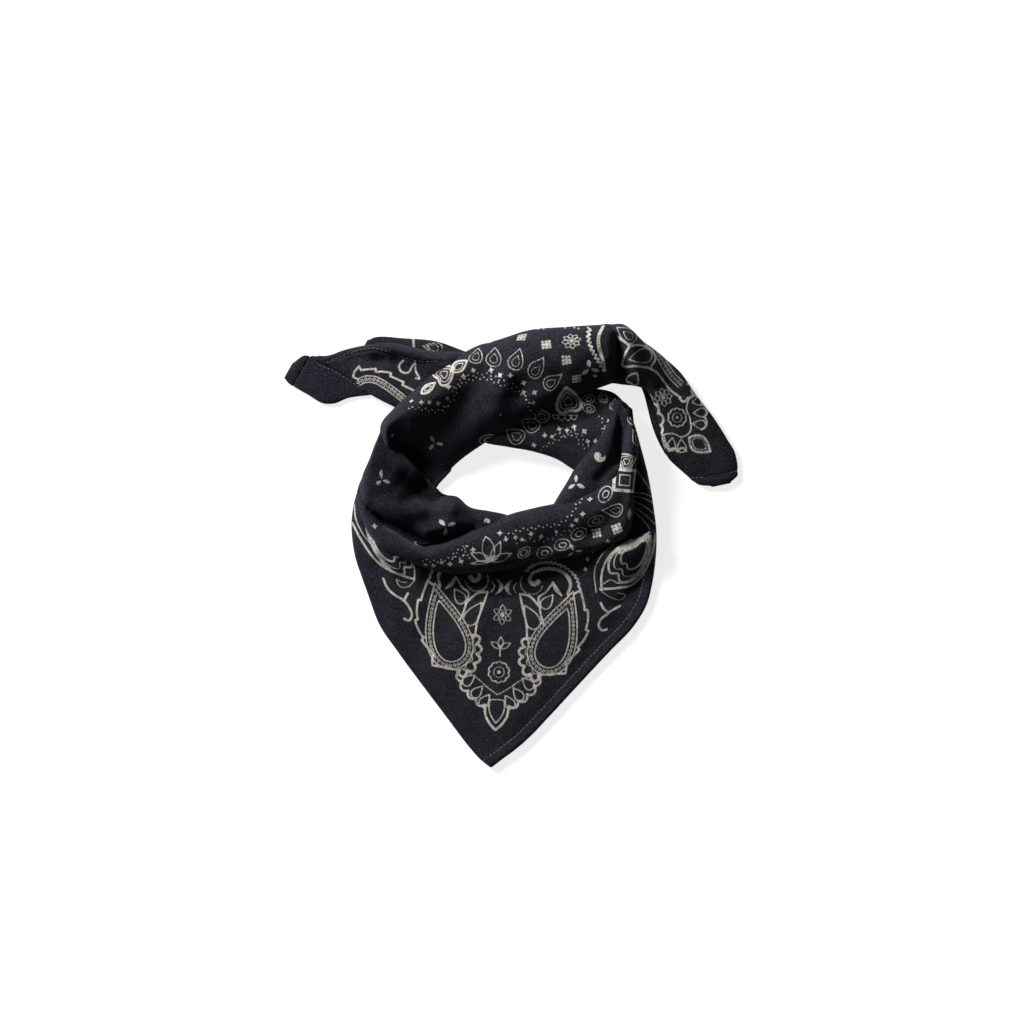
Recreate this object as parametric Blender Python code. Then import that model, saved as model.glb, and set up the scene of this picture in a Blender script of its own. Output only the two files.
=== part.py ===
"""Paisley neckerchief: a square of brushed cotton folded cornerwise, rolled into a band,
tied in a loop and laid flat. The point of the folded square (the apron) lies towards -Y,
the two tied ends lie at the back, left and right. Metres, +Z up, the table is z = 0,
and the origin is the middle of the whole outline on the table."""

import bmesh
import bpy
import numpy as np

MM = 0.001                  # the tables below are in millimetres

# ---------------------------------------------------------------- driving sizes, in mm
CLOTH = 1.5                 # one layer of brushed cotton
GAP = 0.3                   # air between two pieces that touch
CUT_GAP = 0.42              # how far a piece on top is grown before it trims the one below
TUCK = 6.0                  # how far a band's side curls in under its widest line
HEM_STEP = 3.0              # width of the soft step where the front layer climbs the hem
HEM_THICK = 1.1             # the turned-in edge of the square
STRAY = 0.01                # points closer than this are one point

# ---------------------------------------------------------------- shape shares and counts
FULLNESS = 0.85             # below 1 the top of a section is fuller than an ellipse
MOST_TUCK = 0.3             # a side curls in under no more than this share of its section
APRON_STATIONS = 20         # rows of points up the apron
APRON_COLUMNS = 13          # even columns across it, before the two of the hem
HEM_STATIONS = 12           # rows of the apron along which its hem shows
SHARP_EDGE = 50.0           # degrees; softer edges are shaded smooth

# A band is a stretch of rolled cloth. Each row is a section across it: the two ends of the
# section in plan, the height of its crest, where the crest lies between the two ends
# (0 at the outer end, 1 at the inner), and the height of the widest line of its sides.
BAND = ("outer_x", "outer_y", "inner_x", "inner_y", "crest", "lean", "side")

BACK_BAND = [               # over the top of the loop, from the knot round to the left
    (79.5, 164.0, 81.0, 123.0, 22.0, 0.45, 13.0),
    (73.5, 165.8, 75.5, 121.5, 33.0, 0.45, 13.0),
    (65.0, 165.2, 66.5, 118.5, 37.0, 0.45, 13.0),
    (51.5, 164.5, 51.0, 113.0, 38.0, 0.47, 13.0),
    (37.5, 163.5, 36.5, 107.0, 38.0, 0.50, 13.0),
    (14.0, 161.5, 18.0, 99.0, 37.0, 0.48, 13.0),
    (-8.5, 154.5, -1.0, 88.5, 36.0, 0.44, 12.0),
    (-27.0, 149.0, -20.5, 76.5, 36.0, 0.40, 11.0),
    (-47.5, 136.5, -37.0, 65.0, 35.0, 0.36, 9.0),
    (-72.0, 117.5, -49.5, 53.0, 33.0, 0.30, 8.0),
    (-88.0, 103.0, -57.0, 44.0, 29.0, 0.26, 8.0),
    (-97.5, 91.5, -60.0, 34.5, 24.0, 0.25, 8.0),
    (-98.0, 76.0, -62.5, 24.0, 19.0, 0.30, 8.0),
]
LEFT_LOBE = [               # down the left of the loop, then the pocket behind the front roll
    (-100.5, 79.0, -96.0, 89.0, 15.0, 0.45, 9.0),
    (-106.5, 63.5, -95.5, 84.0, 21.0, 0.50, 9.0),
    (-112.0, 49.5, -90.0, 78.0, 25.0, 0.50, 9.0),
    (-112.0, 36.5, -83.5, 71.0, 27.0, 0.55, 10.0),
    (-106.0, 27.5, -75.0, 62.0, 27.0, 0.58, 10.0),
    (-95.5, 16.5, -66.0, 53.0, 26.0, 0.60, 10.0),
    (-80.5, 6.5, -58.0, 43.5, 25.0, 0.62, 9.0),
    (-64.0, -2.5, -50.5, 38.5, 24.0, 0.70, 9.0),
    (-42.0, -3.0, -40.0, 36.5, 22.0, 0.74, 8.0),
    (-23.5, 0.5, -31.0, 29.0, 18.0, 0.70, 8.0),
    (-6.0, 10.5, -16.0, 26.0, 16.0, 0.60, 8.0),
    (4.5, 14.5, -3.0, 23.0, 14.0, 0.50, 8.0),
    (15.0, 4.0, 9.0, 14.0, 11.0, 0.50, 7.0),
]
FRONT_ROLL = [              # the rolled fold along the apron, then up the right of the loop
    (-110.5, 54.5, -106.0, 58.5, 15.0, 0.50, 9.0),
    (-115.5, 40.5, -108.0, 45.0, 18.0, 0.50, 10.0),
    (-115.0, 27.5, -104.0, 31.5, 21.0, 0.50, 11.0),
    (-109.5, 14.0, -97.0, 19.5, 24.0, 0.50, 11.0),
    (-100.0, 1.5, -82.0, 9.0, 26.0, 0.50, 11.0),
    (-85.5, -7.5, -73.0, 3.5, 27.0, 0.50, 11.0),
    (-70.5, -14.5, -65.5, 1.5, 28.0, 0.52, 11.0),
    (-53.5, -19.5, -53.5, 5.0, 28.0, 0.55, 11.0),
    (-37.0, -21.0, -39.0, 10.5, 28.0, 0.58, 11.0),
    (-12.0, -19.0, -20.5, 15.0, 28.0, 0.60, 11.0),
    (12.0, -14.5, 0.0, 24.0, 28.0, 0.60, 11.0),
    (30.5, -10.5, 20.0, 29.0, 28.0, 0.58, 11.0),
    (51.5, -7.0, 38.0, 33.0, 29.0, 0.56, 11.0),
    (71.0, 0.0, 57.0, 39.5, 30.0, 0.52, 12.0),
    (87.5, 8.5, 71.0, 48.5, 31.0, 0.48, 12.0),
    (92.0, 27.0, 78.0, 53.0, 31.0, 0.45, 12.0),
    (92.0, 44.0, 81.5, 64.5, 30.0, 0.45, 12.0),
    (95.0, 63.0, 83.0, 74.0, 29.0, 0.45, 12.0),
    (95.0, 78.0, 84.5, 85.5, 27.0, 0.45, 12.0),
    (91.5, 92.0, 85.5, 99.5, 25.0, 0.45, 12.0),
    (84.0, 102.0, 76.0, 108.0, 22.0, 0.45, 12.0),
]
INNER_STRIP = [             # the flat inner fold that shows between the roll and the hole
    (90.5, 102.0, 79.5, 111.0, 20.0, 0.50, 10.0),
    (92.0, 87.0, 71.0, 93.0, 22.0, 0.60, 10.0),
    (90.5, 68.0, 60.0, 76.5, 23.0, 0.65, 9.0),
    (86.0, 49.5, 48.5, 60.0, 22.0, 0.68, 8.0),
    (75.5, 34.5, 42.0, 48.5, 21.0, 0.70, 8.0),
    (63.0, 26.5, 36.5, 39.5, 20.0, 0.70, 8.0),
    (46.5, 16.5, 30.0, 28.5, 17.0, 0.60, 8.0),
    (34.0, 5.0, 22.0, 16.0, 11.0, 0.50, 7.0),
]
UNDER_BAND = [              # the other end of the loop, where it passes under the back band
    (94.5, 82.5, 60.5, 52.5, 15.0, 0.50, 7.0),
    (89.0, 99.5, 48.5, 56.0, 18.0, 0.50, 7.0),
    (77.5, 114.0, 33.5, 65.0, 19.0, 0.52, 7.0),
    (62.0, 118.0, 16.5, 70.5, 19.0, 0.55, 7.0),
    (42.5, 120.0, -2.5, 74.0, 18.0, 0.58, 7.0),
    (20.0, 116.0, -22.0, 78.0, 17.0, 0.60, 7.0),
    (-1.0, 110.0, -35.0, 87.0, 16.0, 0.60, 7.0),
]
RIGHT_SIDE = [              # the low outer layer that shows right of the roll
    (107.5, -6.0, 86.0, -6.0, 12.0, 0.50, 6.0),
    (108.5, 12.0, 86.0, 13.5, 14.0, 0.50, 7.0),
    (106.5, 29.0, 86.0, 30.5, 16.0, 0.45, 8.0),
    (102.0, 54.5, 86.0, 57.0, 18.0, 0.40, 8.0),
    (96.5, 75.5, 84.0, 75.5, 19.0, 0.35, 9.0),
    (91.5, 91.5, 80.0, 91.5, 19.0, 0.35, 9.0),
    (82.5, 105.0, 74.0, 101.0, 18.0, 0.40, 9.0),
]
LEFT_WING = [               # where the apron's left border climbs the outside of the loop
    (-111.5, 51.0, -107.0, 53.0, 9.0, 0.60, 4.5),
    (-117.5, 34.0, -104.0, 38.0, 13.0, 0.60, 5.0),
    (-119.8, 19.5, -99.0, 25.0, 15.0, 0.65, 5.5),
    (-119.2, 4.0, -90.0, 12.0, 15.0, 0.68, 5.5),
    (-116.5, -10.5, -80.0, 0.0, 13.0, 0.70, 5.0),
    (-112.5, -22.5, -76.0, -12.0, 10.5, 0.62, 4.5),
    (-107.5, -37.0, -82.0, -24.0, 8.0, 0.50, 4.2),
    (-102.5, -48.5, -91.0, -36.0, 6.2, 0.50, 4.0),
]
RIGHT_WING = [              # the same on the right, over the low outer layer
    (108.2, 14.0, 82.0, 14.0, 17.0, 0.60, 6.0),
    (108.9, 2.0, 72.0, 4.0, 17.0, 0.60, 6.0),
    (108.0, -12.0, 64.0, -5.0, 14.5, 0.60, 5.5),
    (105.5, -29.0, 62.0, -18.0, 10.5, 0.58, 5.0),
    (101.0, -44.0, 70.0, -32.0, 7.5, 0.50, 4.5),
    (95.0, -54.0, 81.0, -44.0, 6.2, 0.50, 4.0),
]
LEFT_TAIL = [               # printed face of the left tied end; its top edge is curled over
    (-23.5, 143.0, -70.5, 90.5, 20.0, 0.25, 6.0),
    (-42.0, 145.5, -85.5, 102.5, 19.0, 0.22, 5.5),
    (-63.0, 146.2, -96.0, 108.0, 17.0, 0.20, 5.0),
    (-78.0, 150.0, -105.0, 113.0, 15.0, 0.20, 4.5),
    (-90.0, 152.0, -112.0, 117.5, 12.5, 0.22, 4.2),
    (-108.0, 150.5, -121.5, 125.0, 10.0, 0.30, 4.0),
    (-124.5, 147.0, -130.5, 130.5, 8.0, 0.40, 3.8),
    (-138.0, 142.5, -140.5, 136.0, 6.5, 0.50, 3.6),
    (-145.0, 142.5, -147.0, 139.5, 5.5, 0.50, 3.4),
]
LEFT_TIP = [                # the plain corner that turns out from under the left tail
    (-119.5, 129.5, -105.0, 113.0, 3.2, 0.50, 1.5),
    (-124.5, 133.5, -121.0, 111.0, 3.6, 0.50, 1.6),
    (-136.0, 138.0, -133.5, 106.5, 4.2, 0.50, 1.7),
    (-143.5, 141.5, -142.0, 107.0, 4.6, 0.50, 1.8),
    (-148.5, 142.3, -152.5, 113.2, 4.6, 0.50, 1.8),
    (-151.5, 141.0, -163.0, 120.2, 4.2, 0.50, 1.8),
]
LEFT_HEM = [                # stitched hem across that corner
    (-151.5, 142.6, -164.3, 119.6, 5.0, 0.50, 2.3),
    (-156.5, 142.3, -167.5, 122.2, 5.0, 0.50, 2.3),
    (-163.0, 137.5, -169.8, 125.3, 4.2, 0.50, 2.1),
]
TAIL_BACK = [               # the other layer of the left tail, behind its top edge
    (-106.5, 154.5, -110.5, 147.0, 2.8, 0.40, 1.4),
    (-103.5, 156.0, -104.5, 142.5, 3.4, 0.40, 1.5),
    (-79.5, 155.5, -82.0, 141.0, 4.6, 0.40, 1.8),
    (-55.0, 153.0, -58.0, 138.0, 6.0, 0.40, 2.4),
    (-34.0, 145.5, -40.0, 130.5, 7.0, 0.40, 3.0),
]
RIGHT_TAIL = [              # the right tied end: a hump at the knot, then flat to its corner
    (71.0, 164.9, 71.0, 121.8, 30.0, 0.42, 13.0),
    (76.5, 165.8, 75.5, 121.5, 33.0, 0.36, 13.0),
    (83.0, 165.8, 83.0, 120.5, 35.0, 0.30, 13.0),
    (90.5, 161.0, 92.0, 119.5, 34.0, 0.28, 12.0),
    (97.5, 154.0, 99.0, 117.5, 30.0, 0.28, 10.0),
    (108.5, 146.0, 105.0, 110.0, 25.0, 0.30, 8.0),
    (114.5, 141.0, 108.0, 101.0, 21.0, 0.32, 6.5),
    (126.5, 130.0, 111.0, 89.5, 16.0, 0.35, 5.0),
    (138.5, 113.0, 113.0, 77.5, 12.5, 0.38, 4.4),
    (150.5, 97.5, 117.0, 66.5, 10.0, 0.42, 4.0),
    (162.0, 79.5, 126.5, 57.0, 8.0, 0.45, 3.4),
    (168.0, 68.5, 134.0, 50.5, 6.5, 0.48, 2.8),
    (169.4, 56.2, 137.8, 50.2, 5.2, 0.50, 2.2),
]
RIGHT_HEM = [               # stitched hem across the end of the right tail
    (169.5, 55.9, 137.2, 49.7, 5.6, 0.50, 2.6),
    (169.5, 52.5, 141.0, 45.8, 5.4, 0.50, 2.5),
    (164.5, 47.8, 149.5, 44.7, 4.4, 0.50, 2.2),
]
TAIL_UNDER = [              # the layer that shows under the left edge of the right tail
    (96.5, 120.5, 108.5, 119.5, 8.0, 0.40, 3.8),
    (99.0, 114.5, 112.5, 112.0, 7.0, 0.40, 3.4),
    (102.0, 103.5, 116.0, 101.0, 5.8, 0.40, 2.8),
    (105.0, 91.5, 119.0, 90.0, 4.8, 0.40, 2.3),
    (109.5, 79.5, 121.0, 79.5, 4.2, 0.40, 1.8),
    (115.0, 69.0, 123.0, 71.0, 3.4, 0.40, 1.6),
]

# The apron: left and right edge of the folded point in plan, from the point upwards, and
# how far the hem reaches in from the right edge along the row.
APRON = ("left_x", "left_y", "right_x", "right_y", "hem")
APRON_ROWS = [
    (-17.5, -166.0, -14.5, -166.0, 1.6),
    (-25.0, -158.5, -7.5, -160.5, 7.0),
    (-31.5, -151.0, 6.5, -150.0, 11.0),
    (-47.5, -130.0, 27.5, -129.0, 11.0),
    (-63.0, -109.5, 45.5, -109.5, 11.0),
    (-85.5, -79.0, 73.5, -79.5, 11.0),
    (-98.5, -60.0, 92.0, -60.0, 9.5),
    (-107.5, -33.0, 103.5, -34.5, 8.5),
    (-112.0, -15.0, 104.5, -15.0, 8.0),
    (-112.0, 2.0, 104.0, 2.0, 8.0),
]

# Soft troughs (depth > 0) and ridges (depth < 0) pressed into the top of the bands.
# Columns: from_x, from_y, to_x, to_y, reach, depth.
BACK_CREASES = [
    (-46.0, 104.0, -30.0, 118.0, 15.0, 7.0),
    (-34.0, 98.0, -10.0, 120.0, 9.0, -3.0),
    (-78.0, 92.0, -58.0, 72.0, 13.0, 7.0),
    (6.0, 118.0, 34.0, 124.0, 10.0, 4.5),
    (40.0, 112.0, 66.0, 126.0, 8.0, 4.0),
]
LOBE_CREASES = [
    (-96.0, 40.0, -76.0, 36.0, 11.0, 5.0),
    (-60.0, 22.0, -46.0, 26.0, 7.0, -3.0),
    (-38.0, 22.0, -30.0, 10.0, 7.0, 5.0),
    (-80.0, 34.0, -62.0, 40.0, 6.0, 5.0),
]
ROLL_CREASES = [
    (28.0, 2.0, 62.0, 10.0, 9.0, 4.0),
    (78.0, 22.0, 62.0, 8.0, 10.0, 6.0),
    (-60.0, -8.0, -20.0, -4.0, 8.0, 2.0),
    (84.0, 36.0, 88.0, 62.0, 6.0, 3.0),
]
STRIP_CREASES = [
    (84.0, 94.0, 80.0, 62.0, 8.0, 10.0),
    (80.0, 62.0, 62.0, 44.0, 8.0, 7.0),
]
UNDER_CREASES = [
    (-4.0, 90.0, 36.0, 96.0, 9.0, 4.0),
    (44.0, 92.0, 66.0, 100.0, 7.0, 4.0),
]
LEFT_CREASES = [
    (-88.0, 138.0, -62.0, 128.0, 10.0, 8.0),
    (-118.0, 141.0, -96.0, 140.0, 7.0, 3.0),
]
RIGHT_CREASES = [
    (78.0, 154.0, 84.0, 126.0, 6.5, 12.0),
    (118.0, 118.0, 132.0, 96.0, 8.0, 2.5),
]
WING_CREASES = [(92.0, -4.0, 76.0, -16.0, 7.0, 3.0)]

# Soft swells of the apron's front layer. Columns: x, y, reach, height.
APRON_SWELLS = [
    (-30.0, -45.0, 46.0, 3.0),
    (48.0, -38.0, 38.0, 3.2),
    (-2.0, -92.0, 34.0, 1.8),
    (-78.0, -30.0, 24.0, 2.0),
    (8.0, -122.0, 22.0, 1.0),
]


# ---------------------------------------------------------------- working out the points
def stations(rows, count):
    """The table's rows, redrawn as `count` rows on a smooth curve through them (a cubic
    whose slope at each row is that of its two neighbours), evenly spaced along the band."""
    table = np.array(rows, float)
    middle = (table[:, 0:2] + table[:, 2:4]) / 2
    ends = np.abs(np.diff(table[:, 0:4], axis=0)).max(axis=1)
    step = np.maximum(np.linalg.norm(np.diff(middle, axis=0), axis=1), 0.5 * ends)
    along = np.concatenate([[0.0], np.cumsum(step)])
    slope = np.gradient(table, along, axis=0)
    where = np.linspace(0.0, along[-1], count)
    low = np.clip(np.searchsorted(along, where, side="right") - 1, 0, len(rows) - 2)
    span = (along[low + 1] - along[low])[:, None]
    t = ((where - along[low]) / span[:, 0])[:, None]
    return ((2 * t**3 - 3 * t**2 + 1) * table[low] + (t**3 - 2 * t**2 + t) * span * slope[low]
            + (3 * t**2 - 2 * t**3) * table[low + 1] + (t**3 - t**2) * span * slope[low + 1])


def press(points, side, crest, creases):
    """Lowers points near each crease line by its depth times a bell curve of the distance,
    all of it at the crest and none of it at the widest line."""
    share = np.clip((points[..., 2] - side) / (crest - side), 0.0, 1.0)
    for x0, y0, x1, y1, reach, depth in creases:
        start, run = np.array([x0, y0]), np.array([x1 - x0, y1 - y0])
        offset = points[..., :2] - start
        t = np.clip((offset @ run) / (run @ run), 0.0, 1.0)
        distance = np.linalg.norm(offset - t[..., None] * run, axis=-1)
        points[..., 2] -= share * depth * np.exp(-((distance / reach) ** 2))
    return points


def band_points(rows, along, over, creases=()):
    """Rings of points, one ring a section: over the top, half an ellipse each side of the
    crest, then a quarter ellipse tucked in at each side and a flat run on the table."""
    table = stations(rows, along)
    outer, inner = table[:, None, 0:2], table[:, None, 2:4]
    crest, lean, side = (table[:, BAND.index(name), None] for name in ("crest", "lean", "side"))
    turn = np.linspace(0.0, np.pi, over)[None, :]
    near = turn <= np.pi / 2
    across = np.where(near, lean * (1 - np.cos(turn)), 1 - (1 - lean) * (1 + np.cos(turn)))
    top_z = side + (crest - side) * np.sin(turn) ** FULLNESS
    width = np.linalg.norm(outer - inner, axis=2)
    tuck = np.minimum(TUCK / width, MOST_TUCK)
    bend = np.array([[np.pi / 4, np.pi / 2]])
    inner_w, inner_z = 1 - tuck * (1 - np.cos(bend)), side * (1 - np.sin(bend))
    outer_w, outer_z = (1 - inner_w)[:, ::-1], inner_z[:, ::-1]
    flat = np.full_like(side, 0.5)
    across = np.concatenate([across, inner_w, flat, outer_w], axis=1)
    height = np.concatenate([top_z, inner_z, 0.0 * flat, outer_z], axis=1)
    plan = outer + (inner - outer) * across[..., None]
    points = np.concatenate([plan, height[..., None]], axis=2)
    points[:, :over] = press(points[:, :over], side, crest, creases)
    return points


def apron_plan():
    """Plan points of the apron, row by row: even columns from the left edge to the foot of
    the hem's step, then the top of the step and the right edge."""
    table = stations(APRON_ROWS, APRON_STATIONS)
    left, right, hem = table[:, 0:2], table[:, 2:4], table[:, APRON.index("hem")]
    width = np.linalg.norm(right - left, axis=1)
    step = np.minimum(HEM_STEP, 0.5 * hem)
    even = np.linspace(0.0, 1.0, APRON_COLUMNS)[None, :] * (1 - (hem + step) / width)[:, None]
    share = np.concatenate([even, (1 - hem / width)[:, None], np.ones((len(table), 1))], axis=1)
    return left[:, None] + (right - left)[:, None] * share[..., None]


def swell(plan):
    """Height that the front layer swells by: a sum of bell curves, none at the edges."""
    height = np.zeros(plan.shape[:-1])
    for x, y, reach, rise in APRON_SWELLS:
        distance = np.hypot(plan[..., 0] - x, plan[..., 1] - y)
        height += rise * np.exp(-((distance / reach) ** 2))
    edge = np.minimum(np.arange(plan.shape[1]), 2) / 2.0
    edge[-2:] = 0.0
    return height * edge


# ---------------------------------------------------------------- making the solids
def finish_mesh(name, verts, faces):
    """A closed solid from points in mm, with its faces turned outwards, as an object."""
    mesh = bpy.data.meshes.new(name)
    mesh.from_pydata((np.asarray(verts) * MM).tolist(), [], faces)
    solid = bmesh.new()
    solid.from_mesh(mesh)
    bmesh.ops.recalc_face_normals(solid, faces=solid.faces)
    bmesh.ops.triangulate(solid, faces=solid.faces)
    solid.to_mesh(mesh)
    solid.free()
    thing = bpy.data.objects.new(name, mesh)
    bpy.context.collection.objects.link(thing)
    return thing


def band(name, rows, along, over=11, creases=()):
    """The solid of a stretch of rolled cloth: its rings of points, skinned and capped."""
    rings = band_points(rows, along, over, creases)
    count, around = rings.shape[:2]
    index = np.arange(count * around).reshape(count, around)
    onward = np.roll(index, -1, axis=1)
    quads = np.stack([index[:-1], onward[:-1], onward[1:], index[1:]], axis=-1)
    faces = quads.reshape(-1, 4).tolist() + [index[0, ::-1].tolist(), index[-1].tolist()]
    return finish_mesh(name, rings.reshape(-1, 3), faces)


def slab(name, plan, under, upper):
    """The solid between two heights over a grid of plan points: a layer of flat cloth."""
    count, across = plan.shape[:2]
    low = np.concatenate([plan, under[..., None]], axis=2).reshape(-1, 3)
    high = np.concatenate([plan, upper[..., None]], axis=2).reshape(-1, 3)
    index = np.arange(count * across).reshape(count, across)
    quads = np.stack([index[:-1, :-1], index[:-1, 1:], index[1:, 1:], index[1:, :-1]], axis=-1)
    quads = quads.reshape(-1, 4)
    rim = np.concatenate([index[0], index[1:, -1], index[-1, -2::-1], index[-2:0:-1, 0]])
    wall = np.stack([rim, np.roll(rim, -1), np.roll(rim, -1) + len(low), rim + len(low)], axis=-1)
    faces = np.concatenate([quads[:, ::-1], quads + len(low), wall]).tolist()
    return finish_mesh(name, np.concatenate([low, high]), faces)


def grown(thing):
    """A trimming copy of a piece, moved out along its normals by CUT_GAP and down through
    the table, so that what it trims ends clear of it."""
    mesh = thing.data.copy()
    mesh.name = thing.name + "_cutter"
    at = np.empty(len(mesh.vertices) * 3)
    out = np.empty(len(mesh.vertices) * 3)
    mesh.vertices.foreach_get("co", at)
    mesh.vertices.foreach_get("normal", out)
    at, out = at.reshape(-1, 3), out.reshape(-1, 3)
    moved = at + out * CUT_GAP * MM
    moved[at[:, 2] < STRAY * MM, 2] = -MM
    mesh.vertices.foreach_set("co", moved.ravel())
    cutter = bpy.data.objects.new(mesh.name, mesh)
    bpy.context.collection.objects.link(cutter)
    cutter.hide_render = True
    cutter.display_type = "WIRE"
    return cutter


def largest_island(solid):
    """Deletes every loose piece of a trimmed solid but the one with the most faces."""
    left = set(solid.faces)
    islands = []
    while left:
        island, front = set(), [next(iter(left))]
        while front:
            face = front.pop()
            if face in island:
                continue
            island.add(face)
            front += [other for edge in face.edges for other in edge.link_faces]
        islands.append(island)
        left -= island
    islands.sort(key=len, reverse=True)
    stray = [face for island in islands[1:] for face in island]
    bmesh.ops.delete(solid, geom=stray, context="FACES")
    bmesh.ops.delete(solid, geom=[v for v in solid.verts if not v.link_faces], context="VERTS")


def trim(thing, cutters):
    """Cuts a lower piece back from the grown copies of those that lie on it."""
    for cutter in cutters:
        cut = thing.modifiers.new("under " + cutter.name, "BOOLEAN")
        cut.operation = "DIFFERENCE"
        cut.solver = "EXACT"
        cut.object = cutter
    graph = bpy.context.evaluated_depsgraph_get()
    mesh = bpy.data.meshes.new_from_object(thing.evaluated_get(graph))
    thing.modifiers.clear()
    solid = bmesh.new()
    solid.from_mesh(mesh)
    bmesh.ops.remove_doubles(solid, verts=solid.verts, dist=STRAY * MM)
    bmesh.ops.dissolve_degenerate(solid, dist=STRAY * MM, edges=solid.edges)
    bmesh.ops.triangulate(solid, faces=solid.faces)
    largest_island(solid)
    solid.to_mesh(mesh)
    solid.free()
    thing.data = mesh


def dye(thing, colour, roughness):
    """Each piece's own cloth: dark brushed cotton."""
    cloth = bpy.data.materials.new(thing.name + "_cloth")
    cloth.use_nodes = True
    shader = cloth.node_tree.nodes["Principled BSDF"]
    shader.inputs["Base Color"].default_value = (*colour, 1.0)
    shader.inputs["Roughness"].default_value = roughness
    shader.inputs["Metallic"].default_value = 0.0
    thing.data.materials.clear()
    thing.data.materials.append(cloth)
    thing.data.shade_smooth()
    thing.data.set_sharp_from_angle(angle=np.radians(SHARP_EDGE))


# ---------------------------------------------------------------- the pieces
def bands():
    """Every rolled or folded stretch, whole."""
    return {
        "back_band": band("back_band", BACK_BAND, 32, 13, BACK_CREASES),
        "left_lobe": band("left_lobe", LEFT_LOBE, 24, 13, LOBE_CREASES),
        "front_roll": band("front_roll", FRONT_ROLL, 42, 11, ROLL_CREASES),
        "inner_strip": band("inner_strip", INNER_STRIP, 16, 9, STRIP_CREASES),
        "under_band": band("under_band", UNDER_BAND, 16, 9, UNDER_CREASES),
        "right_side": band("right_side", RIGHT_SIDE, 14, 7),
        "left_wing": band("left_wing", LEFT_WING, 14, 9),
        "right_wing": band("right_wing", RIGHT_WING, 11, 9, WING_CREASES),
        "left_tail": band("left_tail", LEFT_TAIL, 18, 13, LEFT_CREASES),
        "left_tip": band("left_tip", LEFT_TIP, 9, 9),
        "left_tail_hem": band("left_tail_hem", LEFT_HEM, 5, 9),
        "left_tail_back": band("left_tail_back", TAIL_BACK, 10, 7),
        "right_tail": band("right_tail", RIGHT_TAIL, 24, 13, RIGHT_CREASES),
        "right_tail_hem": band("right_tail_hem", RIGHT_HEM, 5, 9),
        "right_tail_under": band("right_tail_under", TAIL_UNDER, 9, 7),
    }


def apron_layers():
    """The two layers of the folded point, and the hem turned in under the front one."""
    plan = apron_plan()
    flat = np.zeros(plan.shape[:2])
    top_of_back = flat + CLOTH
    lift = flat + GAP
    lift[:, -2:] += HEM_THICK + GAP
    front = top_of_back + lift + swell(plan)
    hem = plan[:HEM_STATIONS, -2:]
    hem_foot = np.full(hem.shape[:2], CLOTH + GAP)
    return {
        "apron_back": slab("apron_back", plan[:, ::2], flat[:, ::2], top_of_back[:, ::2]),
        "apron_hem": slab("apron_hem", hem, hem_foot, hem_foot + HEM_THICK),
        "apron_front": slab("apron_front", plan, front, front + CLOTH),
    }


# Which pieces lie on each lower one and trim it.
LIES_UNDER = {
    "back_band": ("left_lobe",),
    "left_lobe": ("front_roll",),
    "front_roll": ("back_band",),
    "inner_strip": ("front_roll", "back_band"),
    "under_band": ("back_band", "inner_strip", "front_roll", "right_side"),
    "right_side": ("front_roll", "back_band", "inner_strip", "right_wing"),
    "left_wing": ("front_roll", "left_lobe"),
    "right_wing": ("front_roll",),
    "apron_front": ("front_roll", "left_lobe", "left_wing", "right_wing", "right_side"),
    "apron_back": ("front_roll", "left_lobe", "left_wing", "right_wing", "right_side"),
    "apron_hem": ("right_wing",),
    "left_tail": ("back_band",),
    "left_tip": ("left_tail",),
    "left_tail_hem": ("left_tail", "left_tip"),
    "left_tail_back": ("left_tail", "back_band"),
    "right_tail": ("back_band",),
    "right_tail_hem": ("right_tail",),
    "right_tail_under": ("right_tail",),
}
PLAIN = ("left_tip", "left_tail_hem", "right_tail_hem")
DARK_CLOTH = (0.012, 0.012, 0.017)
BORDER_CLOTH = (0.022, 0.024, 0.033)


def main():
    for thing in list(bpy.data.objects):
        bpy.data.objects.remove(thing)
    pieces = {**bands(), **apron_layers()}
    cutters = {name: grown(pieces[name]) for name in {n for low in LIES_UNDER.values() for n in low}}
    for name, above in LIES_UNDER.items():
        trim(pieces[name], [cutters[other] for other in above])
    for cutter in cutters.values():
        bpy.data.objects.remove(cutter)
    for name, piece in pieces.items():
        dye(piece, BORDER_CLOTH if name in PLAIN else DARK_CLOTH, 0.9)


main()
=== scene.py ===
"""Looks of the paisley neckerchief: a square of dark brushed cotton with a pale line print,
folded cornerwise, rolled, tied in a loop and laid flat. Tables are in millimetres, meshes in
metres. Every piece of cloth is a thin shell on the form of its solid."""

import bpy
import numpy as np
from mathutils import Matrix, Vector


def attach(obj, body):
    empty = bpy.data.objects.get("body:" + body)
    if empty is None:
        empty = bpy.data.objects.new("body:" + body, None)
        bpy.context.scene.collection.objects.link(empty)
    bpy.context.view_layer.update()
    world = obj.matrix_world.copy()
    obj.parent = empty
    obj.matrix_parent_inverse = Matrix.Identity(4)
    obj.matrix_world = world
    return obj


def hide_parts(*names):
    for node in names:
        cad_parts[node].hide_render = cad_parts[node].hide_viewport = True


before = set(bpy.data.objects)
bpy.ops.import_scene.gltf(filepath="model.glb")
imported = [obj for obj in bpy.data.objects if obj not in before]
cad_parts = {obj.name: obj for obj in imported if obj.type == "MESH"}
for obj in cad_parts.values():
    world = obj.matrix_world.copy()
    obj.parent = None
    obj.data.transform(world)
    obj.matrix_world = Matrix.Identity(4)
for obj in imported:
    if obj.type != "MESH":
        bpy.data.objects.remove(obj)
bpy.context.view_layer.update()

MM = 0.001

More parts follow.
